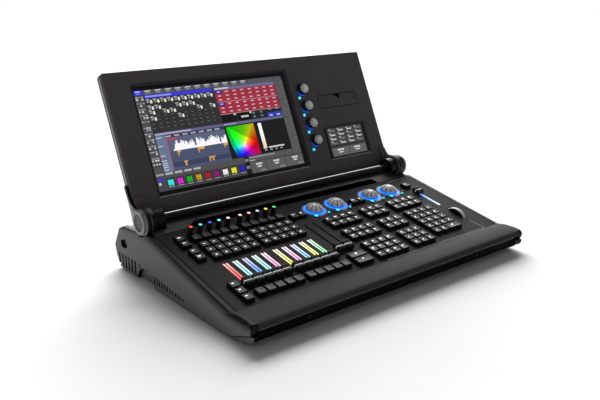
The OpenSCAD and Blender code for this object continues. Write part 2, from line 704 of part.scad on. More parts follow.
module small_display() {
    color("#101418") on_face() translate([small_screen_at[0], 0, small_screen_at[1]])
        face_plate(small_recess[0] - 0.2, small_recess[1] - 0.2, 1.5, front_t + 3, 2);
}
module light_bar() {
    color("white") on_face() translate([strip_x[0] + 0.1, -0.6, edge_up - screen_z + 0.9])
        cube([strip_x[1] - strip_x[0] - 0.2, 4.6, 1.6]);
}

// Drop-down cover of the connector bay, hinged on a pin along its lower edge
module door_axis(l, r) {
    translate([door_at[0], door_front + door_t / 2, door_at[1] - door_size[1] / 2 + 0.5 + door_t / 2])
        hinge_axis(-l / 2, l / 2, r);
}
module usb_door() {
    w = door_size[0] - 0.8;
    z0 = door_at[1] - door_size[1] / 2 + 0.5 + door_t / 2;
    z1 = door_at[1] + door_size[1] / 2 - 0.4;
    color("#343236") on_face() {
        difference() {
            translate([door_at[0] - w / 2, door_front, z0]) cube([w, door_t, z1 - z0]);
            translate([door_at[0] - finger_w / 2, -1, z1 - 4]) cube([finger_w, 6, 6]);
        }
        door_axis(w, door_t / 2);
        door_axis(door_size[0] + 6, door_pin_r);
    }
}

base_tray();
left_cheek();
right_cheek();
control_panel();
wrist_rest();
rear_housing();
rear_panel();
rear_connectors();
rubber_feet();
screws();
control_board();
fader_mechanisms();
light_guides();
power_supply();
hinge_brackets();
hinge_pins();
hinge_arms();
monitor_front();
monitor_back();
main_display();
small_display();
light_bar();
usb_door();
playback_keys();
program_keys();
numeric_keys();
go_keys();
screen_encoder_buttons();
fader_cap(front_columns[0], fader_u);  // fader_cap_01
fader_cap(front_columns[1], fader_u);  // fader_cap_02
fader_cap(front_columns[2], fader_u);  // fader_cap_03
fader_cap(front_columns[3], fader_u);  // fader_cap_04
fader_cap(front_columns[4], fader_u);  // fader_cap_05
fader_cap(front_columns[5], fader_u);  // fader_cap_06
fader_cap(front_columns[6], fader_u);  // fader_cap_07
fader_cap(front_columns[7], fader_u);  // fader_cap_08
fader_cap(front_columns[8], fader_u);  // fader_cap_09
fader_cap(front_columns[9], fader_u);  // fader_cap_10
fader_cap(crossfader_x[0], crossfader_u);  // crossfader_cap_1
fader_cap(crossfader_x[1], crossfader_u);  // crossfader_cap_2
fader_cap(master_x, master_u, master_dx);  // master_fader_cap
attribute_encoder(0);  // attribute_encoder_1
attribute_encoder(1);  // attribute_encoder_2
attribute_encoder(2);  // attribute_encoder_3
attribute_encoder(3);  // attribute_encoder_4
screen_encoder(0);  // screen_encoder_1
screen_encoder(1);  // screen_encoder_2
screen_encoder(2);  // screen_encoder_3
screen_encoder(3);  // screen_encoder_4
playback_encoder(0);  // playback_encoder_01
playback_encoder(1);  // playback_encoder_02
playback_encoder(2);  // playback_encoder_03
playback_encoder(3);  // playback_encoder_04
playback_encoder(4);  // playback_encoder_05
playback_encoder(5);  // playback_encoder_06
playback_encoder(6);  // playback_encoder_07
playback_encoder(7);  // playback_encoder_08
playback_encoder(8);  // playback_encoder_09
playback_encoder(9);  // playback_encoder_10
jog_wheel();
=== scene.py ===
import json
import math
import random

import bpy
from mathutils import Matrix, Vector


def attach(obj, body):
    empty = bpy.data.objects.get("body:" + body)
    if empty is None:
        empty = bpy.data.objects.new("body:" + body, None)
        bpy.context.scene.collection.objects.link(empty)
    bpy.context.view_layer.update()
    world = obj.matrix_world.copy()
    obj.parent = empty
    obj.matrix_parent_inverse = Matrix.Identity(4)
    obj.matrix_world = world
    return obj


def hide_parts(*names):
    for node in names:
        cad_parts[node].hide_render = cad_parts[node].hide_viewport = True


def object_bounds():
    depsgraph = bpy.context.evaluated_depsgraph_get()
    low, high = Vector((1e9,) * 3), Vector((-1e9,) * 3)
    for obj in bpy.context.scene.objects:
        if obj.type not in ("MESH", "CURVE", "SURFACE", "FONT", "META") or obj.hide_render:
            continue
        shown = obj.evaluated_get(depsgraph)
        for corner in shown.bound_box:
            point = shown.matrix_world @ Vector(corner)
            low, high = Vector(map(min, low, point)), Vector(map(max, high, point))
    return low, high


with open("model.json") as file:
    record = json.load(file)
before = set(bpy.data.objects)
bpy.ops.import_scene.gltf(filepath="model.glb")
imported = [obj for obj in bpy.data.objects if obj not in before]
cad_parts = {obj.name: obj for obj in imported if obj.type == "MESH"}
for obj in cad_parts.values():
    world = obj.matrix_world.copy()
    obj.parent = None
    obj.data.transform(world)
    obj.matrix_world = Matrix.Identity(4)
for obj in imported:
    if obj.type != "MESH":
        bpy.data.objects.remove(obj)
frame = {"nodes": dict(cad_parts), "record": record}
cad_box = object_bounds()
scene = bpy.context.scene
random.seed(7)

# ---- frames
JOINTS = {j["name"]: j for j in frame["record"]["behaviour"]["joints"]}
MM = 0.001
X = Vector((1, 0, 0))


def joint_pos(name):
    return Vector(JOINTS[name]["pos_m"])


def joint_axis(name):
    return Vector(JOINTS[name]["axis"]).normalized()


def local_frame(origin, second, third):
    """Millimetres along X, second and third, from an origin in metres."""
    turn = Matrix((X, second, third)).transposed().to_4x4()
    return Matrix.Translation(origin) @ turn @ Matrix.Scale(MM, 4)


PANEL_UP = joint_axis("attribute_encoder_1_turn")
PANEL_BACK = joint_axis("fader_01_slide")
ENCODER_1 = (9.8, 210)
panel_origin = joint_pos("attribute_encoder_1_turn") - MM * (ENCODER_1[0] * X + ENCODER_1[1] * PANEL_BACK)
PANEL = local_frame(panel_origin, PANEL_BACK, PANEL_UP)

FACE_OUT = joint_axis("screen_encoder_1_turn")
FACE_UP = FACE_OUT.cross(X)
KNOB_1 = (124.5, 60.2)
face_origin = joint_pos("screen_encoder_1_turn") - MM * (KNOB_1[0] * X + KNOB_1[1] * FACE_UP)
FACE = local_frame(face_origin, FACE_UP, FACE_OUT)

CHEEK_TOP = 0.108  # height of the highest point of a side cheek
FADE = (0.001, 0.0155)  # depth under the top edge over which a cheek turns from dark to grey
WORLD = Matrix.Scale(MM, 4)
HINGE = local_frame(joint_pos("monitor_tilt"), -FACE_OUT, FACE_UP)


def corners(node, space):
    """Lowest and highest corner of a CAD node in a local frame, in millimetres."""
    back = space.inverted()
    pts = [back @ v.co for v in frame["nodes"][node].data.vertices]
    return [(min(p[i] for p in pts), max(p[i] for p in pts)) for i in range(3)]


def islands(node, space):
    """Box, in a local frame, of each separate solid of a CAD node: [(x0, x1), (y0, y1), (z0, z1)]."""
    mesh = frame["nodes"][node].data
    key = {}
    ids = [key.setdefault(tuple(round(c, 5) for c in v.co), len(key)) for v in mesh.vertices]
    parent = list(range(len(key)))

    def root(i):
        while parent[i] != i:
            parent[i] = parent[parent[i]]
            i = parent[i]
        return i

    for poly in mesh.polygons:
        a = root(ids[poly.vertices[0]])
        for v in poly.vertices[1:]:
            parent[root(ids[v])] = a
    back = space.inverted()
    groups = {}
    for co, i in key.items():
        groups.setdefault(root(i), []).append(back @ Vector(co))
    boxes = [[(min(p[i] for p in g), max(p[i] for p in g)) for i in range(3)] for g in groups.values()]
    return sorted(boxes, key=lambda b: (round(b[0][0], 2), round(b[1][0], 2)))


def middle(span):
    return (span[0] + span[1]) / 2


def width(span):
    return span[1] - span[0]


def seat(box):
    """Middle and top of a box."""
    return middle(box[0]), middle(box[1]), box[2][1]


# ---- materials
BLACK, WHITE = (0, 0, 0, 1), (1, 1, 1, 1)


def srgb(r, g, b):
    """A colour given as 0-255 screen values, in linear light."""
    def lin(c):
        c /= 255
        return c / 12.92 if c <= 0.04045 else ((c + 0.055) / 1.055) ** 2.4
    return (lin(r), lin(g), lin(b), 1)


def node_tree(name):
    mat = bpy.data.materials.new(name)
    mat.use_nodes = True
    tree = mat.node_tree
    return mat, tree, tree.nodes["Principled BSDF"]


def feed(tree, socket, value):
    """Give an input a value, or link it to an output."""
    if isinstance(value, bpy.types.NodeSocket):
        tree.links.new(value, socket)
    else:
        socket.default_value = value


def fill(tree, node, **inputs):
    for name, value in inputs.items():
        feed(tree, node.inputs[name.replace("_", " ")], value)


def add(tree, kind, **inputs):
    node = tree.nodes.new("ShaderNode" + kind)
    fill(tree, node, **inputs)
    return node


def noise(tree, scale, detail=3, stretch=(1, 1, 1)):
    where = add(tree, "TexCoord")
    place = add(tree, "Mapping", Vector=where.outputs["Object"], Scale=stretch)
    return add(tree, "TexNoise", Vector=place.outputs["Vector"], Scale=scale, Detail=detail).outputs["Fac"]


def ramp(tree, source, low, high, lo_pos=0.3, hi_pos=0.7):
    r = add(tree, "ValToRGB", Fac=source)
    r.color_ramp.elements[0].position = lo_pos
    r.color_ramp.elements[1].position = hi_pos
    r.color_ramp.elements[0].color = low
    r.color_ramp.elements[1].color = high
    return r.outputs["Color"]


def blend(tree, share, low, high, kind="MIX"):
    mix = tree.nodes.new("ShaderNodeMix")
    mix.data_type, mix.blend_type = "RGBA", kind
    for i, value in ((0, share), (6, low), (7, high)):
        feed(tree, mix.inputs[i], value)
    return mix.outputs[2]


def scaled(color, k):
    return (min(1, color[0] * k), min(1, color[1] * k), min(1, color[2] * k), 1)


def math_node(tree, operation, a, b, c=0.0):
    node = tree.nodes.new("ShaderNodeMath")
    node.operation = operation
    for i, value in enumerate((a, b, c)):
        feed(tree, node.inputs[i], value)
    return node.outputs[0]


def two_tone(tree, side, top, normal):
    """The side colour on faces that look sideways, below the desk's top edge; top everywhere else."""
    place = add(tree, "SeparateXYZ", Vector=add(tree, "TexCoord").outputs["Object"])
    way = add(tree, "SeparateXYZ", Vector=normal)
    slope = PANEL_BACK.z / PANEL_BACK.y
    plane = math_node(tree, "MULTIPLY_ADD", place.outputs["Y"], slope,
                      panel_origin.z - slope * panel_origin.y)
    edge = math_node(tree, "MINIMUM", math_node(tree, "MAXIMUM", plane, panel_origin.z), CHEEK_TOP)
    under = math_node(tree, "SUBTRACT", edge, place.outputs["Z"])
    fade = add(tree, "MapRange", Value=under, From_Min=FADE[0], From_Max=FADE[1])
    turned = ramp(tree, math_node(tree, "ABSOLUTE", way.outputs["X"], 0), BLACK, WHITE, 0.6, 0.95)
    return blend(tree, math_node(tree, "MULTIPLY", fade.outputs["Result"], turned), top, side)


def finish_of(name, color, rough=0.5, metal=0.0, vary=0.14, patch=45, grain=900, bump=0.15,
              edge=0.0, bevel=0.0, spec=0.25, stretch=(1, 1, 1), rough_vary=0.08, top=None):
    """Paint, plastic or metal: patchy colour, grain in the bump, uneven roughness, and lighter edges that are
    part wear and part painted highlight.
    top colours every face that doesn't look sideways, and fades down the sides from their upper edge."""
    mat, tree, shader = node_tree(name)
    colour = ramp(tree, noise(tree, patch, 4, stretch), scaled(color, 1 - vary), scaled(color, 1 + vary))
    fine = noise(tree, grain, 2, stretch)
    rough_map = add(tree, "MapRange", Value=fine, To_Min=max(0.02, rough - rough_vary),
                    To_Max=min(1, rough + rough_vary))
    bumped = add(tree, "Bump", Strength=bump, Distance=0.0004, Height=fine)
    if bevel:
        round_edge = add(tree, "Bevel", Radius=bevel)
        round_edge.samples = 4
        fill(tree, bumped, Normal=round_edge.outputs["Normal"])
        if edge:
            # Edges are made lighter: part wear, part painted highlight
            dot = tree.nodes.new("ShaderNodeVectorMath")
            dot.operation = "DOT_PRODUCT"
            feed(tree, dot.inputs[0], round_edge.outputs["Normal"])
            feed(tree, dot.inputs[1], add(tree, "NewGeometry").outputs["True Normal"])
            edge_wear_and_highlight = ramp(tree, dot.outputs["Value"], WHITE, BLACK, 0.75, 0.98)
            colour = blend(tree, edge_wear_and_highlight, colour, scaled(color, 1 + edge))
    if top:
        colour = two_tone(tree, colour, top, round_edge.outputs["Normal"])
    fill(tree, shader, Metallic=metal, Specular_IOR_Level=spec, Roughness=rough_map.outputs["Result"],
         Base_Color=colour, Normal=bumped.outputs["Normal"])
    return mat


def lit(name, color, strength, vary=0.06, patch=120):
    """A lit plastic or a lit mark: the glow is slightly uneven."""
    mat, tree, shader = node_tree(name)
    cloud = noise(tree, patch, 2)
    fill(tree, shader, Emission_Color=ramp(tree, cloud, scaled(color, 1 - vary), color),
         Base_Color=ramp(tree, cloud, scaled(color, 0.5), scaled(color, 0.7)),
         Emission_Strength=strength, Roughness=0.35, Specular_IOR_Level=0.08)
    return mat


def tinted(name, strength, rough=0.3, vary=0.05):
    """Glows in the colour that the mesh carries, with a faint unevenness."""
    mat, tree, shader = node_tree(name)
    tint = add(tree, "VertexColor")
    tint.layer_name = "tint"
    cloud = noise(tree, 300, 2)
    level = ramp(tree, cloud, (1 - vary,) * 3 + (1,), WHITE)
    fill(tree, shader, Emission_Color=blend(tree, 1, tint.outputs["Color"], level, "MULTIPLY"),
         Base_Color=ramp(tree, cloud, (0.01, 0.01, 0.012, 1), (0.014, 0.014, 0.016, 1)),
         Emission_Strength=strength, Roughness=rough, Specular_IOR_Level=0.08)
    return mat


M = {
    "tray": finish_of("tray_black", srgb(8, 8, 9), 0.6, bevel=0.0006, edge=0.6, spec=0.05),
    "cheek": finish_of("cheek_grey", srgb(112, 112, 113), 0.6, vary=0.04, grain=1400, bump=0.25, bevel=0.0012,
                       top=srgb(12, 11, 12), spec=0.12),
    "panel": finish_of("panel_charcoal", srgb(47, 46, 47), 0.7, vary=0.05, bevel=0.0005, edge=0.5,
                       grain=1500, spec=0.07),
    "housing": finish_of("housing_charcoal", srgb(40, 38, 40), 0.55, vary=0.05, bevel=0.001, edge=0.5,
                         spec=0.3),
    "rest": finish_of("wrist_rest", srgb(56, 55, 57), 0.65, vary=0.05, bevel=0.0008, edge=0.3, spec=0.04),
    "monitor": finish_of("monitor_charcoal", srgb(80, 76, 78), 0.55, vary=0.05, bevel=0.0006, edge=0.6,
                         spec=0.2),
    "shell": finish_of("black_shell", srgb(13, 13, 14), 0.5, bevel=0.001, edge=0.5, spec=0.2),
    "connector": finish_of("connector_black", srgb(20, 20, 22), 0.4, bevel=0.0004),
    "rubber": finish_of("rubber", srgb(18, 18, 18), 0.9, spec=0.1),
    "steel": finish_of("steel", srgb(120, 120, 124), 0.35, metal=1, stretch=(1, 1, 12), bevel=0.0003),
    "screw": finish_of("blackened_screw", srgb(52, 52, 55), 0.4, metal=1, bevel=0.0003),
    "zinc": finish_of("plated_steel", srgb(160, 160, 162), 0.4, metal=1, patch=25),
    "board": finish_of("circuit_board", srgb(10, 12, 11), 0.6, patch=200, vary=0.3),
    "arm": finish_of("arm_grey", srgb(140, 140, 142), 0.45, metal=0.2, vary=0.05, bevel=0.0008, edge=0.4),
    "glass": finish_of("display_glass", srgb(20, 21, 25), 0.12, vary=0.1, bump=0.0, rough_vary=0.02),
    "silver": finish_of("knob_silver", srgb(226, 224, 224), 0.42, metal=0.1, vary=0.06, patch=250,
                        bevel=0.0003),
    "silver_dark": finish_of("knob_groove", srgb(40, 40, 44), 0.5, metal=0.3, patch=250),
    "black": finish_of("key_side", srgb(9, 9, 10), 0.6, spec=0.15, rough_vary=0.1),
    "key_top": finish_of("key_top", srgb(24, 23, 24), 0.55, vary=0.1, patch=160),
    "fader": finish_of("fader_black", srgb(13, 13, 14), 0.45, bevel=0.0004),
    "fader_top": finish_of("fader_top", srgb(34, 34, 35), 0.4, bevel=0.0004),
    "gap": finish_of("gap_black", srgb(3, 3, 3), 0.9, spec=0.0),
    "print": finish_of("print_grey", srgb(165, 165, 165), 0.7, patch=400),
    "dim": finish_of("edge_highlight", srgb(110, 110, 112), 0.6, patch=300),
    "disc": finish_of("disc_recess_shade", srgb(88, 88, 90), 0.5, bevel=0.0004),
    "rim": finish_of("wheel_rim", srgb(214, 213, 213), 0.45, vary=0.08, bevel=0.0003),
    "lip": finish_of("bezel_lip_highlight", srgb(158, 155, 158), 0.4, bevel=0.0003),
    "border": finish_of("glass_border", srgb(44, 43, 46), 0.5, patch=200),
    "white_line": lit("index_print_and_glow", srgb(235, 238, 240), 0.5, vary=0.1),
    "mark": lit("key_mark", srgb(255, 255, 255), 0.95, vary=0.12, patch=900),
    "mark_halo": lit("key_mark_halo", srgb(150, 150, 152), 0.35, vary=0.2, patch=900),
    "bar": lit("light_bar", srgb(255, 255, 255), 1.05, vary=0.03),
    "cyan": lit("lit_cyan", srgb(70, 222, 250), 1.1, vary=0.1, patch=500),
    "pin_head": lit("pin_head", srgb(40, 62, 88), 0.5, vary=0.2, patch=500),
    "ring": lit("ring_light_blue", srgb(70, 176, 255), 1.2, vary=0.1, patch=200),
    "ring_deep": lit("ring_deep_blue", srgb(14, 118, 252), 1.1, vary=0.15, patch=200),
    "glow": tinted("strip_glow", 1.15),
    "picture": tinted("screen_picture", 1.0, 0.12),
}

for node, name in {
    "base_tray": "tray", "left_cheek": "cheek", "right_cheek": "cheek", "control_panel": "panel",
    "wrist_rest": "rest", "rear_housing": "housing", "rear_panel": "shell",
    "rear_connectors": "connector", "rubber_feet": "rubber", "screws": "screw",
    "control_board": "board", "fader_mechanisms": "steel", "power_supply": "zinc",
    "hinge_brackets": "shell", "hinge_pins": "steel", "hinge_arms": "arm",
    "monitor_front": "monitor", "monitor_back": "shell", "main_display": "glass",
    "small_display": "glass", "usb_door": "monitor",
}.items():
    data = frame["nodes"][node].data
    data.materials.clear()
    data.materials.append(M[name])


# ---- mesh building
class Shape:
    """Points and faces in a local frame, in millimetres."""

    def __init__(self, space):
        self.space, self.verts, self.faces, self.mats, self.tints = space, [], [], [], []
        self.used = []

    def index(self, name):
        if name not in self.used:
            self.used.append(name)
        return self.used.index(name)

    def face(self, ids, mat, tint=None):
        self.faces.append(ids)
        self.mats.append(self.index(mat))
        self.tints.append(tint)

    def loft(self, rings, mat, start=True, end=True, mats=None):
        """A skin through rings with the same number of points. mats may name each band."""
        first = len(self.verts)
        n = len(rings[0])
        for r in rings:
            self.verts += [tuple(p) for p in r]
        for k in range(len(rings) - 1):
            a, b = first + k * n, first + (k + 1) * n
            band = mats[k] if mats else mat
            for i in range(n):
                j = (i + 1) % n
                self.face((a + i, a + j, b + j, b + i), band)
        if start:
            self.face(tuple(reversed(range(first, first + n))), mats[0] if mats else mat)
        if end:
            last = first + (len(rings) - 1) * n
            self.face(tuple(range(last, last + n)), mats[-1] if mats else mat)

    def turned(self, cx, cy, profile, mat, n=32, **more):
        """Circles of (radius, height) about an upright axis, joined."""
        self.loft([circle(cx, cy, r, h, n) for r, h in profile], mat, **more)

    def between(self, near, far, mat, tint=lambda k: None):
        """Faces from one closed outline to another. tint gives the colour of the face at k."""
        first, n = len(self.verts), len(near)
        self.verts += near + far
        for k in range(n):
            j = (k + 1) % n
            self.face((first + k, first + n + k, first + n + j, first + j), mat, tint(k))

    def ribbon(self, near, far, mat, tint=None):
        """Faces from one open line of points to another."""
        first, n = len(self.verts), len(near)
        self.verts += near + far
        for k in range(n - 1):
            self.face((first + k, first + k + 1, first + n + k + 1, first + n + k), mat, tint)

    def sheet(self, points, mat, tint=None):
        """One face through its own points."""
        first = len(self.verts)
        self.verts += points
        self.face(tuple(range(first, first + len(points))), mat, tint)

    def quad(self, x0, x1, y0, y1, h, mat, tint=None):
        self.sheet([(x0, y0, h), (x1, y0, h), (x1, y1, h), (x0, y1, h)], mat, tint)

    def slab(self, x0, x1, y0, y1, h0, h1, mat, r=0.0):
        """A block with rounded corners and a chamfer on top."""
        w, l, cx, cy = x1 - x0, y1 - y0, (x0 + x1) / 2, (y0 + y1) / 2
        c = min(r, w / 3, l / 3, (h1 - h0) / 2) if r else min(0.15, (h1 - h0) / 3)
        rr = max(r, 0.1)
        rings = [rounded(cx, cy, w, l, rr, h0), rounded(cx, cy, w, l, rr, h1 - c),
                 rounded(cx, cy, w - 2 * c, l - 2 * c, max(rr - c, 0.05), h1)]
        self.loft(rings, mat)

    def make(self, name, body, slot, replaces=(), smooth=40):
        mesh = bpy.data.meshes.new(name)
        mesh.from_pydata(self.verts, [], self.faces)
        for m in self.used:
            mesh.materials.append(M[m])
        mesh.polygons.foreach_set("material_index", self.mats)
        if any(t is not None for t in self.tints):
            layer = mesh.color_attributes.new("tint", "FLOAT_COLOR", "CORNER")
            for poly, tint in zip(mesh.polygons, self.tints):
                for k, loop in enumerate(poly.loop_indices):
                    c = tint[k] if tint and isinstance(tint[0], (tuple, list)) else tint
                    layer.data[loop].color = c or (0, 0, 0, 1)
        mesh.transform(self.space)
        if self.space.determinant() < 0:
            mesh.flip_normals()
        mesh.validate()
        mesh.shade_smooth()
        mesh.set_sharp_from_angle(angle=math.radians(smooth))
        obj = bpy.data.objects.new(name, mesh)
        scene.collection.objects.link(obj)
        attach(obj, body)
        if replaces:
            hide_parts(*replaces)
        return obj


def rounded(cx, cy, w, l, r, h, n=3):
    """A rectangle with round corners, anticlockwise."""
    pts = []
    r = max(0.01, min(r, w / 2 - 0.01, l / 2 - 0.01))
    for k, (sx, sy) in enumerate(((1, -1), (1, 1), (-1, 1), (-1, -1))):
        for i in range(n + 1):
            a = math.radians(-90 + 90 * k + 90 * i / n)
            pts.append((cx + sx * (w / 2 - r) + r * math.cos(a), cy + sy * (l / 2 - r) + r * math.sin(a), h))
    return pts


def circle(cx, cy, r, h, n=32, wave=0.0, lobes=0):
    """A circle, or one with cusped flutes cut into it."""
    pts = []
    for i in range(n):
        a = 2 * math.pi * i / n
        k = r - wave * (1 - abs(math.sin(lobes * a / 2))) ** 1.6 if lobes else r
        pts.append((cx + k * math.cos(a), cy + k * math.sin(a), h))
    return pts


def circle_yz(r, n):
    return [(r * math.cos(2 * math.pi * i / n), r * math.sin(2 * math.pi * i / n)) for i in range(n)]


def along_x(points, x):
    """A side outline of (y, z) pairs at one x."""
    return [(x, p[0], p[1]) for p in points]


# ---- keys
def key_cap(shape, box):
    """A cap with black sides, rounded shoulders and a dished top."""
    (cx, cy, top), w, l = seat(box), width(box[0]), width(box[1])
    shape.loft([rounded(cx, cy - shift, w - less, l - less, r, h) for shift, less, r, h in (
        (0, 0, 1.2, -1.5), (0, 0, 1.2, top - 1.6), (0, 0.9, 1.3, top - 0.9), (0, 3.0, 1.6, top - 0.15),
        (0, 4.2, 1.8, top), (0.3, 6.5, 2.0, top - 0.45), (0.5, 11, 1.8, top - 0.8))],
        "black", mats=["black"] * 3 + ["key_top"] * 3)


def key_ring(shape, box, edge=2.2):
    """The black surround of one key, standing just proud of the panel."""
    (cx, cy, _), w, l = seat(box), width(box[0]), width(box[1])
    shape.loft([rounded(cx, cy, w + more, l + more, r, h) for more, r, h in (
        (edge, 1.2, -0.3), (edge, 1.2, 0.45), (edge - 0.3, 1.1, 0.6), (0.7, 0.8, 0.6), (0.7, 0.8, -2.4))],
        "black", start=False, end=False)


MARK_THICK = 0.12


def bar_mark(shape, cx, cy, w, l, h, mat="mark"):
    shape.loft([rounded(cx, cy, w, l, 0.4, z) for z in (h, h + MARK_THICK)], mat)


def poly_mark(shape, pts, h):
    shape.loft([[(x, y, z) for x, y in pts] for z in (h, h + MARK_THICK)], "mark")


PAGE_BARS = [  # the bars of each pictogram: offset, size and finish
    ((-1.2, 1.4, 6.4, 1.9, "mark"), (-2.4, -0.9, 3.6, 1.2, "mark_halo")),
    ((0, 1.2, 7.6, 2.0, "mark"),),
    ((-1.6, 1.4, 4.4, 2.2, "mark"), (2.4, 1.2, 1.8, 1.4, "mark")),
    ((-0.4, 1.6, 7.0, 1.4, "mark"), (-0.9, -0.6, 5.4, 1.2, "mark")),
]
ARROW = [(-2.6, -0.2), (0.6, -0.2), (2.4, 1.2), (0.6, 2.6), (-2.6, 2.6)]


def page_mark(shape, cx, cy, h, kind):
    """Generic pictogram: one or two bars, or an arrow."""
    if kind < len(PAGE_BARS):
        for dx, dy, w, l, mat in PAGE_BARS[kind]:
            bar_mark(shape, cx + dx, cy + dy, w, l, h, mat)
    else:
        poly_mark(shape, [(cx + x, cy + y) for x, y in ARROW], h)


def digit_mark(shape, cx, cy, h, kind):
    """A small generic lit mark in the middle of a keypad key."""
    poly_mark(shape, [(cx - 1.5, cy - 1.2), (cx + 1.0, cy - 1.5), (cx + 1.7, cy + 0.4), (cx + 0.8, cy + 2.2),
                      (cx - 1.2, cy + 2.0)][: 5 - kind % 2], h)
    if kind % 3 == 0:
        bar_mark(shape, cx + 3.1, cy + 2.6, 1.6, 1.0, h, "mark_halo")


PLAYBACK_MARKS = {  # a small outline for the keys of each row, by the row's place
    183.3: [(-2.4, 2.6), (-1.6, 0.8), (1.8, -0.4), (2.0, 1.4)],
    164: [(-1.7, 0.5), (0, -1.6), (1.9, 0.5), (0, 2.2)],
    144.8: [(-2.2, 1.6), (0, -2.2), (2.4, 1.6)],
}
ENCODER_KEYS, FLASH_KEYS = 195, 40  # encoder keys lie behind the first, flash keys in front of the second


def playback_mark(shape, box, top):
    cx, cy = seat(box)[:2]
    if cy > ENCODER_KEYS:
        bar_mark(shape, cx - 0.4, cy + 4.2, 2.6, 1.5, top, "mark_halo")
    elif cy < FLASH_KEYS:
        bar_mark(shape, cx - 2.0, cy + 2.2, 1.8, 1.3, top, "mark_halo")
    else:
        row = min(PLAYBACK_MARKS, key=lambda u: abs(u - cy))
        poly_mark(shape, [(cx + x, cy + y) for x, y in PLAYBACK_MARKS[row]], top)


ROUND_BUTTON = 12  # a key narrower than this is a round lit button beside an encoder
TALL_PIN = 5  # a round button higher than this is the pin of an attribute encoder
surround = Shape(PANEL)
for group in ("playback_keys", "program_keys", "numeric_keys", "go_keys"):
    caps, marks = Shape(PANEL), Shape(PANEL)
    for i, box in enumerate(islands(group, PANEL)):
        cx, cy, top = seat(box)
        if width(box[0]) < ROUND_BUTTON:
            r = width(box[0]) / 2
            if top > TALL_PIN:
                caps.turned(cx, cy, [(r, -1.5), (r, 0.4), (r, 0.6 * top), (r, top - 0.6), (r - 0.6, top)],
                            "black", mats=["black", "cyan", "pin_head", "pin_head"])
                continue
            caps.turned(cx, cy, [(r, -1.5), (r, top - 0.9)], "black", end=False)
            caps.turned(cx, cy, [(r, top - 0.9), (r - 0.3, top - 0.3), (r - 0.9, top)], "cyan", start=False)
            surround.turned(cx, cy, [(r + 1.1, -0.2), (r + 1.1, 0.3), (r + 0.35, 0.3), (r + 0.35, -2.2)],
                            "black", start=False, end=False)
            continue
        key_cap(caps, box)
        key_ring(surround, box, 2.4 if group == "playback_keys" else 2.2)
        low = top - 0.75
        if group == "playback_keys":
            playback_mark(marks, box, low)
        elif group == "numeric_keys" and cx < 240 and width(box[0]) < 20:
            digit_mark(marks, cx - 0.5, cy + 0.4, low, i)
        else:
            page_mark(marks, cx - 0.6, cy + 1.2, low, random.randrange(5))
    caps.make(group + "_caps", group, "key_black", replaces=[group])
    marks.make(group + "_marks", group, "lit_button")
surround.make("key_surrounds", "console", "key_black")

# ---- light strips and rings
faders = [n for n in frame["nodes"] if "fader_cap" in n]


def below(node, space, height):
    """Middle of the part of a CAD node that lies under a height: the stem of a fader."""
    back = space.inverted()
    pts = [back @ v.co for v in frame["nodes"][node].data.vertices]
    low = [p for p in pts if p.z < height]
    return [(min(p[i] for p in low) + max(p[i] for p in low)) / 2 for i in range(2)]


STEMS = {n: below(n, PANEL, 0) for n in faders}
SLOT_X = {n: STEMS[n][0] for n in faders}
SLOT_U = {n: STEMS[n][1] for n in faders}

STRIP_COLOURS = [  # rear, middle and front of each column's two bars
    ((255, 190, 178), (250, 100, 98), (246, 70, 72)),
    ((236, 255, 255), (176, 250, 250), (166, 244, 250)),
    ((226, 214, 255), (120, 176, 255), (36, 140, 240)),
    ((232, 255, 255), (178, 248, 250), (168, 246, 250)),
    ((255, 236, 240), (255, 184, 224), (250, 160, 214)),
    ((255, 255, 236), (255, 250, 140), (252, 216, 60)),
    ((255, 240, 248), (255, 188, 236), (250, 150, 220)),
    ((236, 232, 255), (160, 214, 255), (80, 210, 240)),
    ((255, 255, 232), (250, 250, 140), (248, 240, 90)),
    ((236, 255, 240), (170, 250, 190), (130, 236, 160)),
    ((70, 130, 255), (150, 200, 255), (200, 232, 255)),
]


def mixed(a, b, t):
    return srgb(*[a[i] + (b[i] - a[i]) * t for i in range(3)])


def strip_colour(c, t):
    """t runs from 0 at the rear to 1 at the front."""
    return mixed(c[0], c[1], t * 2) if t < 0.5 else mixed(c[1], c[2], t * 2 - 1)


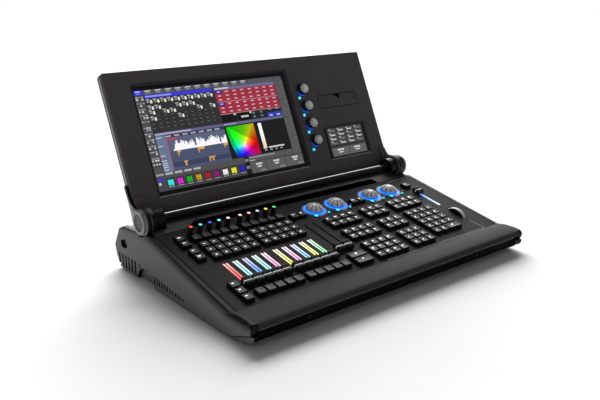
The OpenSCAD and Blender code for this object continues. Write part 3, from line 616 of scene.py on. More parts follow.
SLOT_HALF = 0.9  # half the width of a fader slot
STRIP_STEPS = 14  # colour steps along a bar
SPILL = 0.8  # brightness of the painted glow beside a bar
SPILL_TOP, SPILL_LOW = 0.14, -0.9  # height of that glow on the panel, and its foot on the slot's wall
guides = islands("light_guides", PANEL)
strips = Shape(PANEL)
bars = [b for b in guides if width(b[0]) < 10]
bar_x = sorted(set(round(middle(b[0]), 1) for b in bars))
for b in bars:
    order = bar_x.index(round(middle(b[0]), 1))
    c = STRIP_COLOURS[min(order // 2, 10)]
    x0, x1 = b[0][0] + 0.15, b[0][1] - 0.15
    # Painted glow of the bar on the panel between the bar and its slot, and on the slot's far wall
    slot_side = 1 if order % 2 == 0 else -1
    near_edge = x1 if slot_side > 0 else x0
    if order + slot_side < len(bar_x):
        wall = middle((bar_x[order], bar_x[order + slot_side])) - slot_side * (SLOT_HALF + 0.02)
    else:
        near_edge, wall = x0 - 1.0, x1 + 1.6  # the single bar's painted glow lies on both sides
    top = b[2][1] + 0.25
    front = b[1][0]
    for u in SLOT_U.values():
        if b[1][0] < u < b[1][0] + 20:
            front = u  # the lit part ends under the fader cap
    for k in range(STRIP_STEPS):
        t0, t1 = k / STRIP_STEPS, (k + 1) / STRIP_STEPS
        y1, y0 = b[1][1] - t0 * (b[1][1] - front), b[1][1] - t1 * (b[1][1] - front)
        ca, cb = strip_colour(c, t1), strip_colour(c, t0)
        strips.ribbon(*[[(x0, y, top - 0.4), (x0 + 0.4, y, top), (x1 - 0.4, y, top), (x1, y, top - 0.4)]
                        for y in (y0, y1)], "glow", (ca, ca, cb, cb))
        da, db = scaled(ca, SPILL), scaled(cb, SPILL)
        strips.ribbon(*[[(near_edge, y, SPILL_TOP), (wall, y, SPILL_TOP), (wall, y, SPILL_LOW)]
                        for y in (y0, y1)], "glow", (da, da, db, db))
    strips.slab(b[0][0], b[0][1], b[1][0], b[1][1], b[2][0], top - 0.42, "black", 0.3)
RING_R = 21.6
ring_x = sorted(set(round(middle(b[0]), 1) for b in guides if width(b[0]) >= 10))
for x in ring_x:
    u = ENCODER_1[1]
    strips.turned(x, u, [(RING_R, -0.9), (RING_R, 0.7), (21.1, 1.0), (20.3, 1.0), (20.0, 0.75), (16.2, 0.7),
                         (16.0, -0.9)], "ring", 64, start=False, end=False,
                  mats=["black", "ring", "ring", "ring_deep", "ring_deep", "black"])
    # Painted light spilling on to the panel around the ring, fading to the panel's grey
    near, far = srgb(14, 74, 196), srgb(44, 45, 48)
    strips.between(circle(x, u, RING_R, 0.12, 64), circle(x, u, 26, 0.05, 64), "glow",
                   lambda k: (near, far, far, near))
strips.make("lit_strips_and_rings", "console", "light_guide", replaces=["light_guides"])

# ---- fader caps
def fader_piece(node):
    box = corners(node, PANEL)
    x0, x1 = box[0]
    cy, l, top = middle(box[1]), width(box[1]), box[2][1]
    low = 1.7  # underside of the cap
    ridge, hollow = top - 0.1, top - 2.7
    front = [(-l / 2, low), (-l / 2, 4.4), (-l / 2 + 1.2, 7.2), (-l / 2 + 2.0, ridge - 0.2),
             (-l / 2 + 3.2, ridge), (-l / 2 + 5.0, hollow + 1.2), (-2.4, hollow + 0.2)]
    side = front + [(0, hollow)] + [(-y, z) for y, z in reversed(front)]
    cap = Shape(PANEL)
    stations = []
    for x, k in ((x0, 0.94), (x0 + 0.5, 0.985), (x0 + 1.2, 1), (x1 - 1.2, 1), (x1 - 0.5, 0.985), (x1, 0.94)):
        stations.append([(x, cy + y * k, low + (z - low) * k) for y, z in reversed(side)])
    cap.loft(stations, "fader")
    # Grip ribs across both slopes of the finger hollow
    for s in (-1, 1):
        for k, y in enumerate((2.6, 3.9, 5.2)):
            z = hollow + 0.35 + k * 0.5
            cap.slab(x0 + 1.4, x1 - 1.4, cy + s * y - 0.3, cy + s * y + 0.3, z - 0.6, z + 0.3,
                     "fader_top", 0.2)
    # White line across the bottom of the finger hollow and down both ends of the cap, made to glow: index
    # print that also stands as a painted highlight
    cap.slab(x0 + 0.3, x1 - 0.3, cy - 0.6, cy + 0.6, hollow - 0.3, hollow + 0.14, "white_line")
    for x, s in ((x0, -1), (x1, 1)):
        cap.slab(min(x, x + s * 0.05) - 0.02, max(x, x + s * 0.05) + 0.02, cy - 0.6, cy + 0.6,
                 3.2, hollow + 0.1, "white_line")
    # Stem down into the slot
    sx = SLOT_X[node]
    cap.slab(sx - 0.6, sx + 0.6, SLOT_U[node] - 3, SLOT_U[node] + 3, -8.5, low + 0.1, "steel")
    cap.make(node + "_detailed", node, "fader_black", replaces=[node], smooth=35)


for n in faders:
    fader_piece(n)

# ---- knobs
SHAFT_R = 3


def grooves(knob, cx, cy, profile, count, half, lift=0.3):
    """Painted shade: a dark wedge down the bottom of each flute, wider towards the rim."""
    for i in range(count):
        a = 2 * math.pi * i / count
        for (r0, h0, w0), (r1, h1, w1) in zip(profile, profile[1:]):
            points = []
            for r, h, s in ((r0 - w0, h0, -1), (r0 - w0, h0, 1), (r1 - w1, h1, 1), (r1 - w1, h1, -1)):
                wide = s * half * (0.4 + r / 18)
                points.append((cx + (r + lift) * math.cos(a) - wide * math.sin(a),
                               cy + (r + lift) * math.sin(a) + wide * math.cos(a), h + lift))
            knob.sheet(points, "silver_dark")


def attribute_knob(node):
    cx, cy, top = seat(corners(node, PANEL))
    knob = Shape(PANEL)
    knob.turned(cx, cy, [(15.4, 1.2), (15.4, 3.5)], "ring_deep", 64, end=False)
    profile = [(15.4, 3.4, 0), (17.6, 3.5, 0.5), (17.9, 4.2, 0.9), (17.4, 5.8, 1.7), (16.2, 7.4, 2.2),
               (14.2, 9.0, 2.2), (11.4, 10.4, 1.7), (8.4, 11.5, 1.0), (5.2, top - 0.4, 0.4), (2.4, top, 0)]
    knob.loft([circle(cx, cy, r, h, 120, w, 9) for r, h, w in profile], "silver", start=False)
    grooves(knob, cx, cy, profile[2:9], 9, 0.95)
    knob.turned(cx, cy, [(SHAFT_R, -13), (SHAFT_R, 1.3)], "steel", 16)
    knob.make(node + "_fluted", node, "knob_silver", replaces=[node], smooth=50)


for i in range(4):
    attribute_knob(f"attribute_encoder_{i + 1}")

KNOB_TOPS = [(255, 72, 58), (84, 226, 240), (70, 84, 250), (90, 232, 244), (255, 206, 222),
             (255, 226, 180), (255, 196, 216), (190, 216, 255), (250, 222, 64), (70, 226, 120)]
for i in range(10):
    node = f"playback_encoder_{i + 1:02d}"
    cx, cy, top = seat(corners(node, PANEL))
    knob = Shape(PANEL)
    knob.loft([circle(cx, cy, r, h, 72, w, 18) for r, h, w in (
        (6.3, 1.0, 0), (6.3, 2.6, 0), (5.6, 3.4, 0), (4.75, 4.2, 0.0), (4.75, 5.0, 0.35),
        (4.6, top - 3, 0.35), (4.5, top - 2, 0.1), (4.2, top - 1, 0), (3.3, top - 0.6, 0))],
        "fader", end=False)
    colour = srgb(*KNOB_TOPS[i])
    name = f"knob_top_{i + 1:02d}"
    M[name] = lit(name, colour, 1.15, vary=0.2, patch=400)
    knob.turned(cx, cy, [(3.3, top - 0.6), (3.0, top - 0.1), (2.2, top)], name, start=False)
    knob.turned(cx, cy, [(SHAFT_R, -13), (SHAFT_R, 1.2)], "steel", 16)
    knob.make(node + "_fluted", node, "knob_black", replaces=[node])

for i in range(4):
    node = f"screen_encoder_{i + 1}"
    cx, cy, top = seat(corners(node, FACE))
    knob = Shape(FACE)
    profile = [(11.0, 1.0, 0.1), (11.4, 2.0, 0.5), (11.2, 4.4, 1.1), (10.8, 8.2, 1.3), (10.2, 11.6, 1.3),
               (9.2, 14.2, 1.0), (7.6, top - 0.6, 0.6), (6.2, top, 0.2), (5.2, top - 0.2, 0),
               (2.6, top - 0.3, 0)]
    knob.loft([circle(cx, cy, r, h, 80, w, 10) for r, h, w in profile], "silver",
              mats=["silver_dark"] * 4 + ["silver"] * 5)
    grooves(knob, cx, cy, profile[1:8], 10, 0.9)
    knob.turned(cx, cy, [(SHAFT_R, -5), (SHAFT_R, 1.1)], "steel", 16)
    knob.make(node + "_fluted", node, "knob_silver", replaces=[node], smooth=50)

GLOW_STEPS = 48  # faces in the painted light and shade around a screen knob


def glow_tint(k):
    """Painted light and shade around the foot of a screen knob: blue, brightest below it, and near black
    elsewhere.
    """
    a = 2 * math.pi * (k + 0.5) / GLOW_STEPS
    share = max(0, math.cos(a + math.pi / 2 + 0.35)) ** 0.8
    near, far = mixed((4, 6, 14), (20, 96, 245), share), mixed((3, 4, 8), (8, 30, 90), share)
    return near, far, far, near


knob_glow = Shape(FACE)
for i in range(4):
    cx, cy, _ = seat(corners(f"screen_encoder_{i + 1}", FACE))
    knob_glow.between(circle(cx, cy, 11.0, 0.35, GLOW_STEPS), circle(cx, cy, 14.2, 0.15, GLOW_STEPS), "glow",
                      glow_tint)
knob_glow.make("screen_knob_glow", "monitor", "light_guide")

node = "screen_encoder_buttons"
buttons, button_rims = Shape(FACE), Shape(FACE)
for box in islands(node, FACE):
    (cx, cy, top), r = seat(box), width(box[0]) / 2
    buttons.turned(cx, cy, [(r, -4), (r, top - 0.5), (r - 0.5, top), (r - 1.4, top + 0.1)], "cyan")
    button_rims.turned(cx, cy, [(r + 1.3, 0.02), (r + 1.1, 0.35), (r + 0.45, 0.35), (r + 0.45, -1)], "black",
                       start=False, end=False)
buttons.make("screen_buttons_lit", node, "lit_button", replaces=[node])
button_rims.make("screen_button_rims", "monitor", "monitor_charcoal")

# Jog wheel: a rim with ribs and two recessed sides
box = corners("jog_wheel", PANEL)
wheel = Shape(PANEL)
wx, wy, wz = middle(box[0]), middle(box[1]), middle(box[2])
R, half = width(box[2]) / 2, 5.0


def wheel_ring(x, r, ribs, n=144):
    """A circle across the axle with a notch at every fourth point."""
    radii = [r - (ribs if i % 4 == 0 else 0) for i in range(n)]
    return [(wx + x, wy + k * math.cos(2 * math.pi * i / n), wz + k * math.sin(2 * math.pi * i / n))
            for i, k in enumerate(radii)]


side = [(-half + 1.6, R - 8, 0), (-half + 0.5, R - 4, 0), (-half, R - 1.8, 0), (-half + 0.5, R - 0.4, 0.2),
        (-half + 1.3, R, 0.8)]
wheel.loft([wheel_ring(*ring) for ring in side] + [wheel_ring(-x, r, ribs) for x, r, ribs in reversed(side)],
           "black", mats=["black"] * 3 + ["rim"] * 3 + ["black"] * 3)
axle = [(wy + y, wz + z) for y, z in circle_yz(SHAFT_R, 24)]
wheel.loft([along_x(axle, wx - 9), along_x(axle, wx + 9)], "steel")
wheel.make("jog_wheel_ribbed", "jog_wheel", "knob_silver", replaces=["jog_wheel"])

# ---- panel details
details = Shape(PANEL)


def line(shape, x0, y0, x1, y1, w, mat="print", h=0.04):
    d = Vector((x1 - x0, y1 - y0, 0)).normalized() * w / 2
    n = Vector((-d.y, d.x, 0))
    shape.sheet([(x0 - n.x, y0 - n.y, h), (x1 - n.x, y1 - n.y, h), (x1 + n.x, y1 + n.y, h),
                 (x0 + n.x, y0 + n.y, h)], mat)


line(details, 10, 1.7, 284, 1.7, 0.9)
line(details, 284, 1.7, 279.4, 37.7, 0.9)
line(details, 250, 243.7, 300, 243.7, 0.7)
line(details, -54, 187.5, -28, 187.5, 0.6)
# Black lining of the fader slots
for n in faders:
    box = corners(n, PANEL)
    x = SLOT_X[n]
    back = [b for b in JOINTS.values() if b["child"] == n][0]["range_m"]
    y0, y1 = SLOT_U[n] + back[0] / MM - 4, SLOT_U[n] + back[1] / MM + 4
    details.loft([rounded(x, (y0 + y1) / 2, 3.0, y1 - y0 + 1.2, 1.2, 0.03),
                  rounded(x, (y0 + y1) / 2, 1.9, y1 - y0, 0.8, 0.05),
                  rounded(x, (y0 + y1) / 2, 1.7, y1 - y0 - 0.1, 0.8, -2.4)], "black", start=False, end=False)
    if "crossfader" in n:
        for s in (-1, 1):  # black borders of the slot
            line(details, x + s * 1.5, y0, x + s * 1.5, y1, 1.1, "gap", 0.05)
        for s in (-1, 1):  # tick marks
            for k in range(11):
                yk = y0 + 4.5 + k * (y1 - y0 - 9) / 10
                line(details, x + s * 4.2, yk, x + s * 7.6, yk, 0.45, "border", 0.05)
(px0, px1), (pu0, pu1) = corners("control_panel", PANEL)[:2]
for s, x in ((-1, px0), (1, px1)):
    line(details, x + s * 0.3, pu0, x + s * 0.3, pu1 - 8, 1.3, "gap", 0.14)
    line(details, x - s * 2.2, pu0, x - s * 2.2, pu1 - 8, 0.4, "gap", 0.06)
details.make("panel_details", "console", "panel_charcoal")

# Black pocket in the rear cover, behind the playback encoders; its near-black lining is partly its own finish
# and partly painted shade under the monitor's lower edge
recess = Shape(WORLD)
lip = panel_origin / MM + PANEL_BACK * corners("control_panel", PANEL)[1][1]
hinge = joint_pos("monitor_tilt") / MM
rise = (hinge.z - 4.4 - lip.z) / (hinge.y + 2.2 - lip.y)
POCKET = [(-255.3, 0.1), (227.2, 0.1), (220.8, 15.4), (-227.8, 15.4)]
recess.between(*[[(x, lip.y + back, lip.z + rise * back - depth) for x, back in POCKET]
                 for depth in (0.5, 9)], "gap")
recess.face((4, 5, 6, 7), "gap")
recess.make("encoder_recess", "console", "black_shell")

# ---- monitor face details
face_bits = Shape(FACE)


def bezel(shape, node, depth, top_w, right_w, left_w, low_w):
    """The recess edge of a screen: a black gasket on three sides, partly painted shadow, and a bright lower
    lip that is a painted highlight.
    """
    (x0, x1), (s0, s1) = corners(node, FACE)[:2]
    outer = (x0 - 1.2, x1 + 1.2, s0 - 1.2, s1 + 1.2)
    inner = (x0 + left_w, x1 - right_w, s0 + low_w, s1 - top_w)
    first = len(shape.verts)
    for b, h in ((outer, 0.05), (inner, depth)):
        shape.verts += [(b[0], b[2], h), (b[1], b[2], h), (b[1], b[3], h), (b[0], b[3], h)]
    # Lower side pale as a painted highlight; the other three dark, partly painted shadow
    for k, mat in enumerate(("lip", "border", "border", "border")):
        j = (k + 1) % 4
        shape.face((first + k, first + j, first + 4 + j, first + 4 + k), mat)


bezel(face_bits, "main_display", -1.9, 5.5, 6.5, 3.0, 2.4)
bezel(face_bits, "small_display", -1.4, 3.5, 4.0, 2.4, 2.0)

# Black seam around the cover, and the marks on it: finger notch, round catch and a short slot
(dx0, dx1), (ds0, ds1) = corners("usb_door", FACE)[:2]
dx0, dx1 = dx0 + 3.2, dx1 - 3.2
door_x = middle((dx0, dx1))
for x0, x1, s0, s1 in (
        (dx0 - 1.0, dx1 + 1.0, ds1 + 0.1, ds1 + 1.3), (dx0 - 1.0, dx1 + 1.0, ds0 - 1.2, ds0 - 0.1),
        (dx0 - 1.1, dx0 - 0.1, ds0 - 1.2, ds1 + 1.3), (dx1 + 0.1, dx1 + 1.1, ds0 - 1.2, ds1 + 1.3)):
    face_bits.quad(x0, x1, s0, s1, 0.06, "gap")
face_bits.make("screen_bezels", "monitor", "monitor_charcoal")
door_bits = Shape(FACE)
door_bits.slab(door_x - 6.5, door_x + 4, ds1 - 3.4, ds1 - 0.2, -0.42, -0.34, "gap", 0.4)
door_bits.slab(door_x - 0.5, door_x + 6, ds1 - 9.2, ds1 - 2.6, -0.42, -0.33, "gap", 2.4)
door_bits.slab(dx1 - 7.5, dx1 - 5.5, ds0 + 11.5, ds0 + 17.5, -0.42, -0.33, "gap", 0.6)
door_bits.make("usb_door_marks", "usb_door", "monitor_charcoal")

# ---- hinges and front edge
def arc_band(shape, x0, x1, r, thick, a0, a1, mat, n=40):
    """A curved band about the hinge axis. Angles in degrees from straight up, positive to the front."""
    rings = []
    for i in range(n + 1):
        a = math.radians(a0 + (a1 - a0) * i / n)
        y, z = -math.sin(a), math.cos(a)
        rings.append([(x0, r * y, r * z), (x1, r * y, r * z), (x1, (r + thick) * y, (r + thick) * z),
                      (x0, (r + thick) * y, (r + thick) * z)])
    shape.loft(rings, mat)


ax0, ax1 = corners("hinge_arms", HINGE)[0]
PLATE_X = ax1 - 7  # outer face of the upper arm
SLEEVE_R = 24.02
FRONT_EDGE = [(27.2, 72), (27.2, 60), (25.9, 49), (22.4, 37), (17.9, 30.2), (8, 26.5), (-3, 22.4)]
INSET_EDGE = [(34, 72), (31.5, 60), (29.5, 49), (26.5, 39), (20, 31.2), (8, 26.6), (-3, 22.5)]
hinge_bits = Shape(HINGE)
for s in (-1, 1):
    plate, inner = s * (PLATE_X + 0.15), s * (PLATE_X - 5.4)
    edge, proud = ([(y - out, z) for y, z in FRONT_EDGE] for out in (0.15, 0.9))
    hinge_bits.ribbon(along_x(edge, inner), along_x(edge, plate), "shell")
    hinge_bits.ribbon(along_x(edge, plate), along_x(INSET_EDGE, plate), "shell")
    hinge_bits.ribbon(along_x(proud, inner), along_x(proud, inner - s * 0.7), "arm")
    # Black sleeve of the barrel with a pale ring and a short grey band
    for d0, d1, thick, a0, a1, mat in ((0.1, 8.6, 0.12, 0, 360, "shell"), (8.6, 9.3, 0.22, 0, 360, "arm"),
                                       (9.3, 17, 0.12, 0, 360, "shell"), (11, 14.5, 0.2, 8, 70, "dim")):
        arc_band(hinge_bits, s * (PLATE_X - d0), s * (PLATE_X - d1), SLEEVE_R, thick, a0, a1, mat)
    # Darker plate sunk into the disc, its colour painted shade in the recess, with a black ring for the
    # shaded recess wall and a screw above it
    face = ax1 - 1.4
    for r0, r1, out, mat in ((0, 14.6, 0.0, "disc"), (14.6, 15.4, 0.02, "gap")):
        hinge_bits.between(*[along_x(circle_yz(r, 48), s * (face + out)) for r in (max(r0, 0.1), r1)], mat)
    screw = [(2 + y, 18.6 + z) for y, z in circle_yz(1.5, 16)]
    hinge_bits.loft([along_x(screw, s * ax1), along_x(screw, s * (ax1 - 0.3))], "shell")
hinge_bits.make("hinge_trim", "monitor", "arm_grey")

front_bits = Shape(WORLD)
(tx0, tx1), (ty0, _), _ = corners("base_tray", WORLD)
# Pale lines along the front band, under the wrist rest and at the lower edge: painted highlights
front_bits.slab(tx0 + 2, tx1 - 2, ty0 + 1.7, ty0 + 2.5, 27.0, 28.0, "dim")
front_bits.slab(tx0 + 2, tx1 - 2, ty0 - 0.3, ty0 + 0.3, 11.4, 12.4, "dim")
# Black filling between each skid and the cheek's nose: a dark block of painted shade under the nose
(_, nose_x), (nose_y, _), _ = corners("right_cheek", WORLD)
filling = [(nose_y + y, z) for y, z in ((3, 22.2), (56, 2.8), (58, 5), (30, 18), (3.6, 31))]
for s in (-1, 1):
    front_bits.loft([along_x(filling, s * (nose_x - inward)) for inward in (12, 4.6)], "gap")
# Tube along the hinge line, under the monitor's lower edge
TUBE_R, TUBE_END = 6.5, 40
tube = Shape(HINGE)
tube.loft([along_x(circle_yz(TUBE_R, 32), x) for x in (ax0 + TUBE_END, ax1 - TUBE_END)], "shell")
tube.make("hinge_tube", "console", "black_shell")
front_bits.make("front_edge_lines", "console", "tray_black")

# ---- light bar
(bx0, bx1), (bs0, bs1), (bh0, bh1) = corners("light_bar", FACE)
bar = Shape(FACE)
side = [(bs0 + 0.2, bh0), (bs0 + 0.1, bh1 - 0.2), (bs0 + 0.3, bh1), (bs1 - 0.3, bh1), (bs1 - 0.1, bh1 - 0.2),
        (bs1 - 0.2, bh0)]
bar.loft([along_x(side, x) for x in (bx0, bx0 + 1, middle((bx0, bx1)), bx1 - 1, bx1)], "gap")
bar.quad(bx0 + 0.5, bx1 - 0.5, middle((bs0, bs1)) - 0.5, middle((bs0, bs1)) + 0.5, bh1 + 0.02, "bar")
bar.make("light_bar_lit", "monitor", "light_bar", replaces=["light_bar"])

# ---- screens
UI_X, UI_S = (-263.0, 81.2), (-96.8, 96.8)
GREY, BLUE = (84, 84, 88), (58, 56, 214)
ui = Shape(FACE)
GLASS = corners("main_display", FACE)[2][1]


def cell(u0, u1, v0, v1, colour, layer, x=UI_X, s=UI_S, shape=ui, glass=GLASS, corner_tints=None):
    """A lit rectangle on a screen. u runs 0-1 left to right and v runs 0-1 from the top down."""
    w, h = x[1] - x[0], s[1] - s[0]
    shape.quad(x[0] + u0 * w, x[0] + u1 * w, s[1] - v1 * h, s[1] - v0 * h, glass + 0.04 * layer, "picture",
               corner_tints or srgb(*colour))


def cell_row(count, pitch, u0, u1, v0, v1, colour, layer):
    """Equal cells side by side, from the first one."""
    for i in range(count):
        cell(u0 + i * pitch, u1 + i * pitch, v0, v1, colour, layer)


def spot(u, v, w, h, colour, layer):
    """A cell by its upper left corner and size."""
    cell(u, u + w, v, v + h, colour, layer)


PALE, MID = (206, 206, 208), (150, 150, 152)
cell(0, 1, 0, 1, (50, 49, 51), 1)
# Top row of soft keys and the left column of tool keys
for i in range(16):
    u = 0.0565 + (i - 1) * 0.0627
    cell(max(0, u), min(1, u + 0.06), 0, 0.05, BLUE if i == 0 else GREY, 2)
    if i < 12:
        cell(max(0, u) + 0.01, u + 0.045, 0.008, 0.018, PALE, 3)
        cell(max(0, u) + 0.014, u + 0.04, 0.028, 0.038, MID, 3)
for i in range(13):
    v = 0.055 + i * 0.0607
    cell(0, 0.052, v, v + 0.057, (84, 83, 85), 2)
    for k in range(3):
        u = 0.005 + k * 0.016
        if i < 12:
            for v0, v1, tone in ((0.008, 0.02, MID), (0.028, 0.044, (60, 60, 62))):
                cell(u, u + random.uniform(0.006, 0.014), v + v0, v + v1, random.choice((PALE, tone)), 3)
# Fixture window: blue title and rows of small pale icons on a dark grid
cell(0.057, 0.488, 0.052, 0.086, BLUE, 2)
cell(0.062, 0.22, 0.06, 0.076, (150, 150, 236), 3)
cell(0.057, 0.488, 0.086, 0.432, (49, 48, 49), 2)
ICONS = ((0.094, range(10)), (0.158, (0, 1, 4, 5, 6)), (0.206, (0, 2, 3, 7, 9)), (0.268, (0, 4)))
for v, columns in ICONS:
    for i in columns:
        u = 0.06 + i * 0.0428
        spot(u, v, 0.02, 0.012, (176, 176, 178), 3)
        cell(u + 0.004, u + 0.018, v + 0.018, v + 0.036,
             (150, 146, 90) if v < 0.1 and i in (1, 2) else MID, 3)
        cell(u + 0.024, u + 0.036, v + 0.012, v + 0.044, (236, 236, 226), 3)
for row in range(4):
    for i in range(10):
        u = 0.062 + i * 0.0428
        cell(u, u + 0.013, 0.262 + row * 0.04, 0.27 + row * 0.04, (104, 104, 106), 3)
# Palette window: two bands of red cells
cell(0.5, 0.935, 0.052, 0.084, (104, 104, 146), 2)
cell(0.503, 0.6, 0.06, 0.074, PALE, 3)
for band in range(2):
    v0 = 0.084 + band * 0.13
    cell(0.5, 0.933, v0, v0 + 0.13, (154, 48, 66), 2)
    cell(0.5, 0.933, v0 + 0.125, v0 + 0.13, (200, 150, 156), 3)
    cell(0.502, 0.55, v0 + 0.002, v0 + 0.038, (40, 40, 150), 3)
    for row in range(3):
        for i in range(8):
            u, v = 0.515 + i * 0.0542, v0 + 0.012 + row * 0.042
            spot(u, v, 0.022, 0.013, (224, 170, 178), 4)
cell(0.5, 0.933, 0.345, 0.43, (34, 36, 36), 2)
cell(0.5, 0.605, 0.35, 0.43, (22, 20, 20), 3)
cell(0.612, 0.71, 0.35, 0.43, (18, 18, 18), 3)
cell(0.635, 0.688, 0.38, 0.4, (200, 200, 200), 4)
for u in (0.588, 0.7):
    cell(u, u + 0.014, 0.346, 0.364, PALE, 4)
for v in (0.356, 0.396):
    cell_row(2, 0.055, 0.72, 0.738, v, v + 0.02, (86, 128, 130), 4)
cell_row(2, 0.055, 0.84, 0.862, 0.346, 0.356, MID, 4)
cell(0.825, 0.933, 0.386, 0.43, (52, 62, 180), 3)
cell_row(2, 0.055, 0.838, 0.862, 0.41, 0.424, (200, 204, 240), 4)
# Right key column
for v0, v1 in ((0.052, 0.256), (0.262, 0.456), (0.462, 0.676), (0.682, 0.874)):
    cell(0.938, 1, v0, v1, (88, 87, 89), 2)
    cell(0.986, 0.994, v0 + 0.006, v0 + 0.014, MID, 3)
# Timeline window: slate panel with a pale waveform
for u0, u1 in ((0.057, 0.497), (0.5, 0.935)):
    cell(u0, u1, 0.436, 0.464, (98, 98, 138), 2)
cell(0.06, 0.285, 0.442, 0.458, (168, 168, 196), 3)
cell(0.503, 0.59, 0.444, 0.456, (158, 158, 190), 3)
cell(0.057, 0.497, 0.464, 0.494, (50, 52, 64), 2)
cell_row(8, 0.0525, 0.066, 0.1, 0.474, 0.488, (170, 172, 186), 3)
cell(0.057, 0.497, 0.494, 0.825, (90, 98, 124), 2)
cell(0.057, 0.118, 0.464, 0.825, (106, 118, 146), 3)
cell(0.12, 0.497, 0.632, 0.825, (76, 83, 110), 3)
cell(0.12, 0.497, 0.745, 0.792, (58, 65, 92), 4)
for v in (0.482, 0.565, 0.66, 0.71, 0.735, 0.755, 0.775, 0.8):
    cell(0.06, 0.09, v, v + 0.009, (196, 204, 222), 4)
cell(0.12, 0.186, 0.506, 0.52, (200, 58, 74), 5)
cell(0.117, 0.12, 0.5, 0.81, (186, 62, 84), 5)
cell(0.054, 0.06, 0.66, 0.69, (196, 40, 60), 5)
WAVE_STEPS = 96
for i in range(WAVE_STEPS):
    t = i / WAVE_STEPS
    u = 0.14 + t * 0.357
    shape_at = 0.3 + 0.3 * abs(math.sin(3.3 * math.pi * t)) + 0.45 * random.random()
    if t < 0.08:
        shape_at *= t / 0.08
    if 0.40 < t < 0.43 or 0.86 < t < 0.89:
        shape_at *= 0.25
    cell(u, u + 0.357 / WAVE_STEPS, 0.632 - 0.1 * shape_at, 0.632, (250, 251, 255), 5)
for u, v, w, h in ((0.166, 0.632, 0.02, 0.022), (0.168, 0.65, 0.006, 0.036), (0.295, 0.632, 0.045, 0.026),
                   (0.296, 0.655, 0.006, 0.034), (0.467, 0.632, 0.029, 0.026), (0.471, 0.655, 0.006, 0.026),
                   (0.191, 0.745, 0.023, 0.012), (0.196, 0.757, 0.011, 0.034), (0.352, 0.745, 0.042, 0.012),
                   (0.352, 0.757, 0.008, 0.034), (0.372, 0.757, 0.01, 0.034)):
    spot(u, v, w, h, (222, 168, 84), 6)
# Colour picker between anchor colours; its left edge leans
PICK_V = (0.477, 0.808)
PICK_RIGHT = 0.705
cell(0.5, 0.935, 0.466, 0.812, (24, 23, 23), 2)
GREEN, RED, BLUE_AT = Vector((0.07, 0.03)), Vector((0.93, 0.6)), Vector((0.2, 1.0))
BALANCE = (1.13, 2.19, 1.0)  # puts white at the middle of the picker's triangle
OUTSIDE = 0.74  # brightness beyond the triangle


def picked(a, b):
    """Colour at a point of a picker: a hue triangle, dimmer beyond its sides."""
    p = Vector((a, b))

    def area_of(o, q, r):
        return (q - o).x * (r - o).y - (q - o).y * (r - o).x

    whole = area_of(RED, GREEN, BLUE_AT)
    share = [area / whole for area in (
        area_of(p, GREEN, BLUE_AT), area_of(RED, p, BLUE_AT), area_of(RED, GREEN, p))]
    level = 1 if min(share) >= 0 else OUTSIDE
    part = [max(0, k) * w for k, w in zip(share, BALANCE)]
    return srgb(*[255 * level * k / max(part) for k in part])


def pick_u(a, b):
    left = 0.511 + 0.032 * b ** 2.2
    return left + a * (PICK_RIGHT - left)


PICK_CELLS = 26
for j in range(PICK_CELLS):
    b0, b1 = j / PICK_CELLS, (j + 1) / PICK_CELLS
    for i in range(PICK_CELLS):
        a0, a1 = i / PICK_CELLS, (i + 1) / PICK_CELLS
        cell(pick_u(a0, b0), pick_u(a1, b0), PICK_V[0] + b0 * (PICK_V[1] - PICK_V[0]),
             PICK_V[0] + b1 * (PICK_V[1] - PICK_V[0]), None, 3,
             corner_tints=(picked(a0, b1), picked(a1, b1), picked(a1, b0), picked(a0, b0)))
# Intensity bar and the dark channel columns
for k in range(10):
    fall = max(0, k - 5)
    cell(0.734, 0.759, 0.484 + k * 0.0275, 0.484 + (k + 1) * 0.0275,
         (255 - fall * 4, 255 - fall * 12, 255 - fall * 22), 3)
cell_row(7, 0.022, 0.776, 0.786, 0.476, 0.74, (32, 31, 31), 3)
for i in range(4):
    u = 0.732 + i * 0.0375 + (0.002 if i else 0)
    cell(u, u + 0.028 + (0.012 if i else 0), 0.75, 0.764, (222, 222, 222), 4)
    cell(u + 0.006, u + 0.022, 0.776, 0.788, (170, 170, 170), 4)
# Keys and thumbnails along the bottom
THUMBS = [(60, 232, 228), (214, 40, 214), (40, 170, 44), (186, 152, 40), (176, 30, 44), (140, 30, 120),
          (236, 236, 236), (232, 226, 50), (44, 36, 190)]
cell(0, 0.575, 0.815, 1, (70, 69, 71), 2)
for i in range(9):
    u = 0.056 + i * 0.0585
    cell(u, u + 0.055, 0.822, 0.874, (80, 79, 81), 3)
    if i < 4:
        cell(u + 0.004, u + 0.05, 0.83, 0.85, (178, 178, 178), 4)
cell(0.004, 0.05, 0.83, 0.85, MID, 3)
cell(0.01, 0.044, 0.875, 0.9, BLUE, 3)
cell(0.008, 0.022, 0.915, 0.94, PALE, 3)
for i, c in enumerate(THUMBS):
    u = 0.057 + i * 0.0585
    cell(u, u + 0.048, 0.884, 0.992, (56, 55, 57), 3)
    cell(u + 0.002, u + 0.046, 0.895, 0.96, (26, 24, 30), 4)
    cell(u + 0.006, u + 0.022, 0.9, 0.956, c, 5)
    cell(u + 0.025, u + 0.04, 0.9, 0.956, c, 5)
    cell(u + 0.016, u + 0.03, 0.908, 0.94, c, 5)
    cell(u + 0.004, u + 0.042, 0.966, 0.975, MID, 5)
cell(0.575, 0.607, 0.818, 1, (26, 25, 27), 3)
for v in (0.838, 0.912):
    cell(0.578, 0.604, v, v + 0.03, (124, 123, 125), 4)
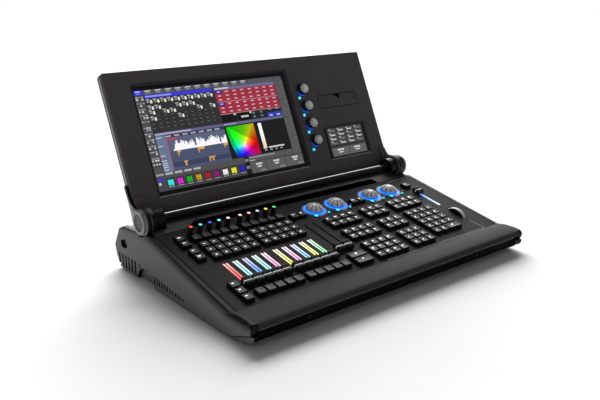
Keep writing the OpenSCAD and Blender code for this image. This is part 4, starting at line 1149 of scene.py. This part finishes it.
# Command line and the bottom soft keys
cell(0.609, 0.935, 0.815, 0.874, (84, 83, 85), 2)
cell(0.614, 0.8, 0.824, 0.84, (140, 140, 142), 3)
cell(0.612, 0.65, 0.858, 0.87, (170, 170, 172), 3)
for u0, u1 in ((0.609, 0.718), (0.722, 0.862), (0.866, 1)):
    cell(u0, u1, 0.882, 1, (90, 89, 91), 2)
    cell((u0 + u1) / 2 - 0.016, (u0 + u1) / 2 + 0.028, 0.9, 0.918, PALE, 3)
    cell((u0 + u1) / 2 - 0.008, (u0 + u1) / 2 + 0.02, 0.928, 0.944, PALE, 3)
    cell(u1 - 0.048, u1 - 0.008, 0.976, 0.985, MID, 3)
ui.make("main_picture", "monitor", "display_glass")

mini = Shape(FACE)
MX, MS = (163.4, 267.9), (-97.2, -32.2)
MINI_GLASS = corners("small_display", FACE)[2][1]


def mini_cell(u0, u1, v0, v1, colour, layer):
    cell(u0, u1, v0, v1, colour, layer, MX, MS, mini, MINI_GLASS)


mini_cell(0, 1, 0, 1, (58, 58, 60), 1)
for row in range(4):
    for i in range(4):
        u, v = 0.02 + i * 0.245, 0.03 + row * 0.145
        mini_cell(u, u + 0.225, v, v + 0.125, (70, 70, 72), 2)
        mini_cell(u + 0.03, u + 0.08, v + 0.012, v + 0.04, (200, 200, 200), 3)
        mini_cell(u + 0.05, u + 0.19, v + 0.06, v + 0.1,
                  (206, 206, 206) if (i + row) % 3 else (120, 120, 120), 3)
mini_cell(0, 1, 0.61, 0.68, (48, 48, 50), 2)
for i in range(2):
    mini_cell(0.02 + i * 0.49, 0.49 + i * 0.49, 0.7, 0.98, (96, 96, 98), 2)
    mini_cell(0.16 + i * 0.47, 0.34 + i * 0.47, 0.75, 0.8, (214, 214, 214), 3)
    mini_cell(0.19 + i * 0.47, 0.32 + i * 0.47, 0.84, 0.88, (200, 200, 200), 3)
mini.make("small_picture", "monitor", "display_glass")

# ---- floor, lights, camera
floor_mesh = bpy.data.meshes.new("floor")
floor_mesh.from_pydata([(-6, -6, 0), (6, -6, 0), (6, 6, 0), (-6, 6, 0)], [], [(0, 1, 2, 3)])
floor = bpy.data.objects.new("floor", floor_mesh)
floor_mesh.materials.append(finish_of("floor_white", (0.95, 0.95, 0.95, 1), 0.9, vary=0.01, patch=3, bump=0.0,
                                      spec=0.1))
scene.collection.objects.link(floor)
floor.location.z = cad_box[0].z - 0.0005

# A soft dome, brighter near the horizon; the camera sees plain white behind the desk
world = bpy.data.worlds.new("studio")
world.use_nodes = True
sky = world.node_tree
split = add(sky, "SeparateXYZ", Vector=add(sky, "TexCoord").outputs["Generated"])
dome = add(sky, "MapRange", Value=split.outputs["Z"], From_Min=0.25, From_Max=0.65, To_Min=0.28, To_Max=0.14)
seen = add(sky, "LightPath").outputs["Is Camera Ray"]
fill(sky, sky.nodes["Background"], Color=WHITE,
     Strength=math_node(sky, "MAXIMUM", dome.outputs["Result"], seen))
scene.world = world

# A very soft overhead light from behind, which sets the shadow in front of the desk
LIGHT_WAY = Vector((-0.9, -1.4, -1))
overhead = bpy.data.lights.new("overhead", "SUN")
overhead.energy = 6.0
overhead.specular_factor = 0.3
overhead.angle = math.radians(54)
lamp = bpy.data.objects.new("overhead", overhead)
lamp.rotation_euler = LIGHT_WAY.to_track_quat("-Z", "Y").to_euler()
scene.collection.objects.link(lamp)

TILT_DOWN, TURN = 72.89, -39.195  # degrees
camera_data = bpy.data.cameras.new("camera")
camera_data.lens, camera_data.sensor_width = 43.35, 36
camera = bpy.data.objects.new("camera", camera_data)
camera.location = (-0.8660, -1.01352, 0.5194)
camera.rotation_euler = (math.radians(TILT_DOWN), 0, math.radians(TURN))
scene.collection.objects.link(camera)
scene.camera = camera
scene.view_settings.view_transform = "Standard"
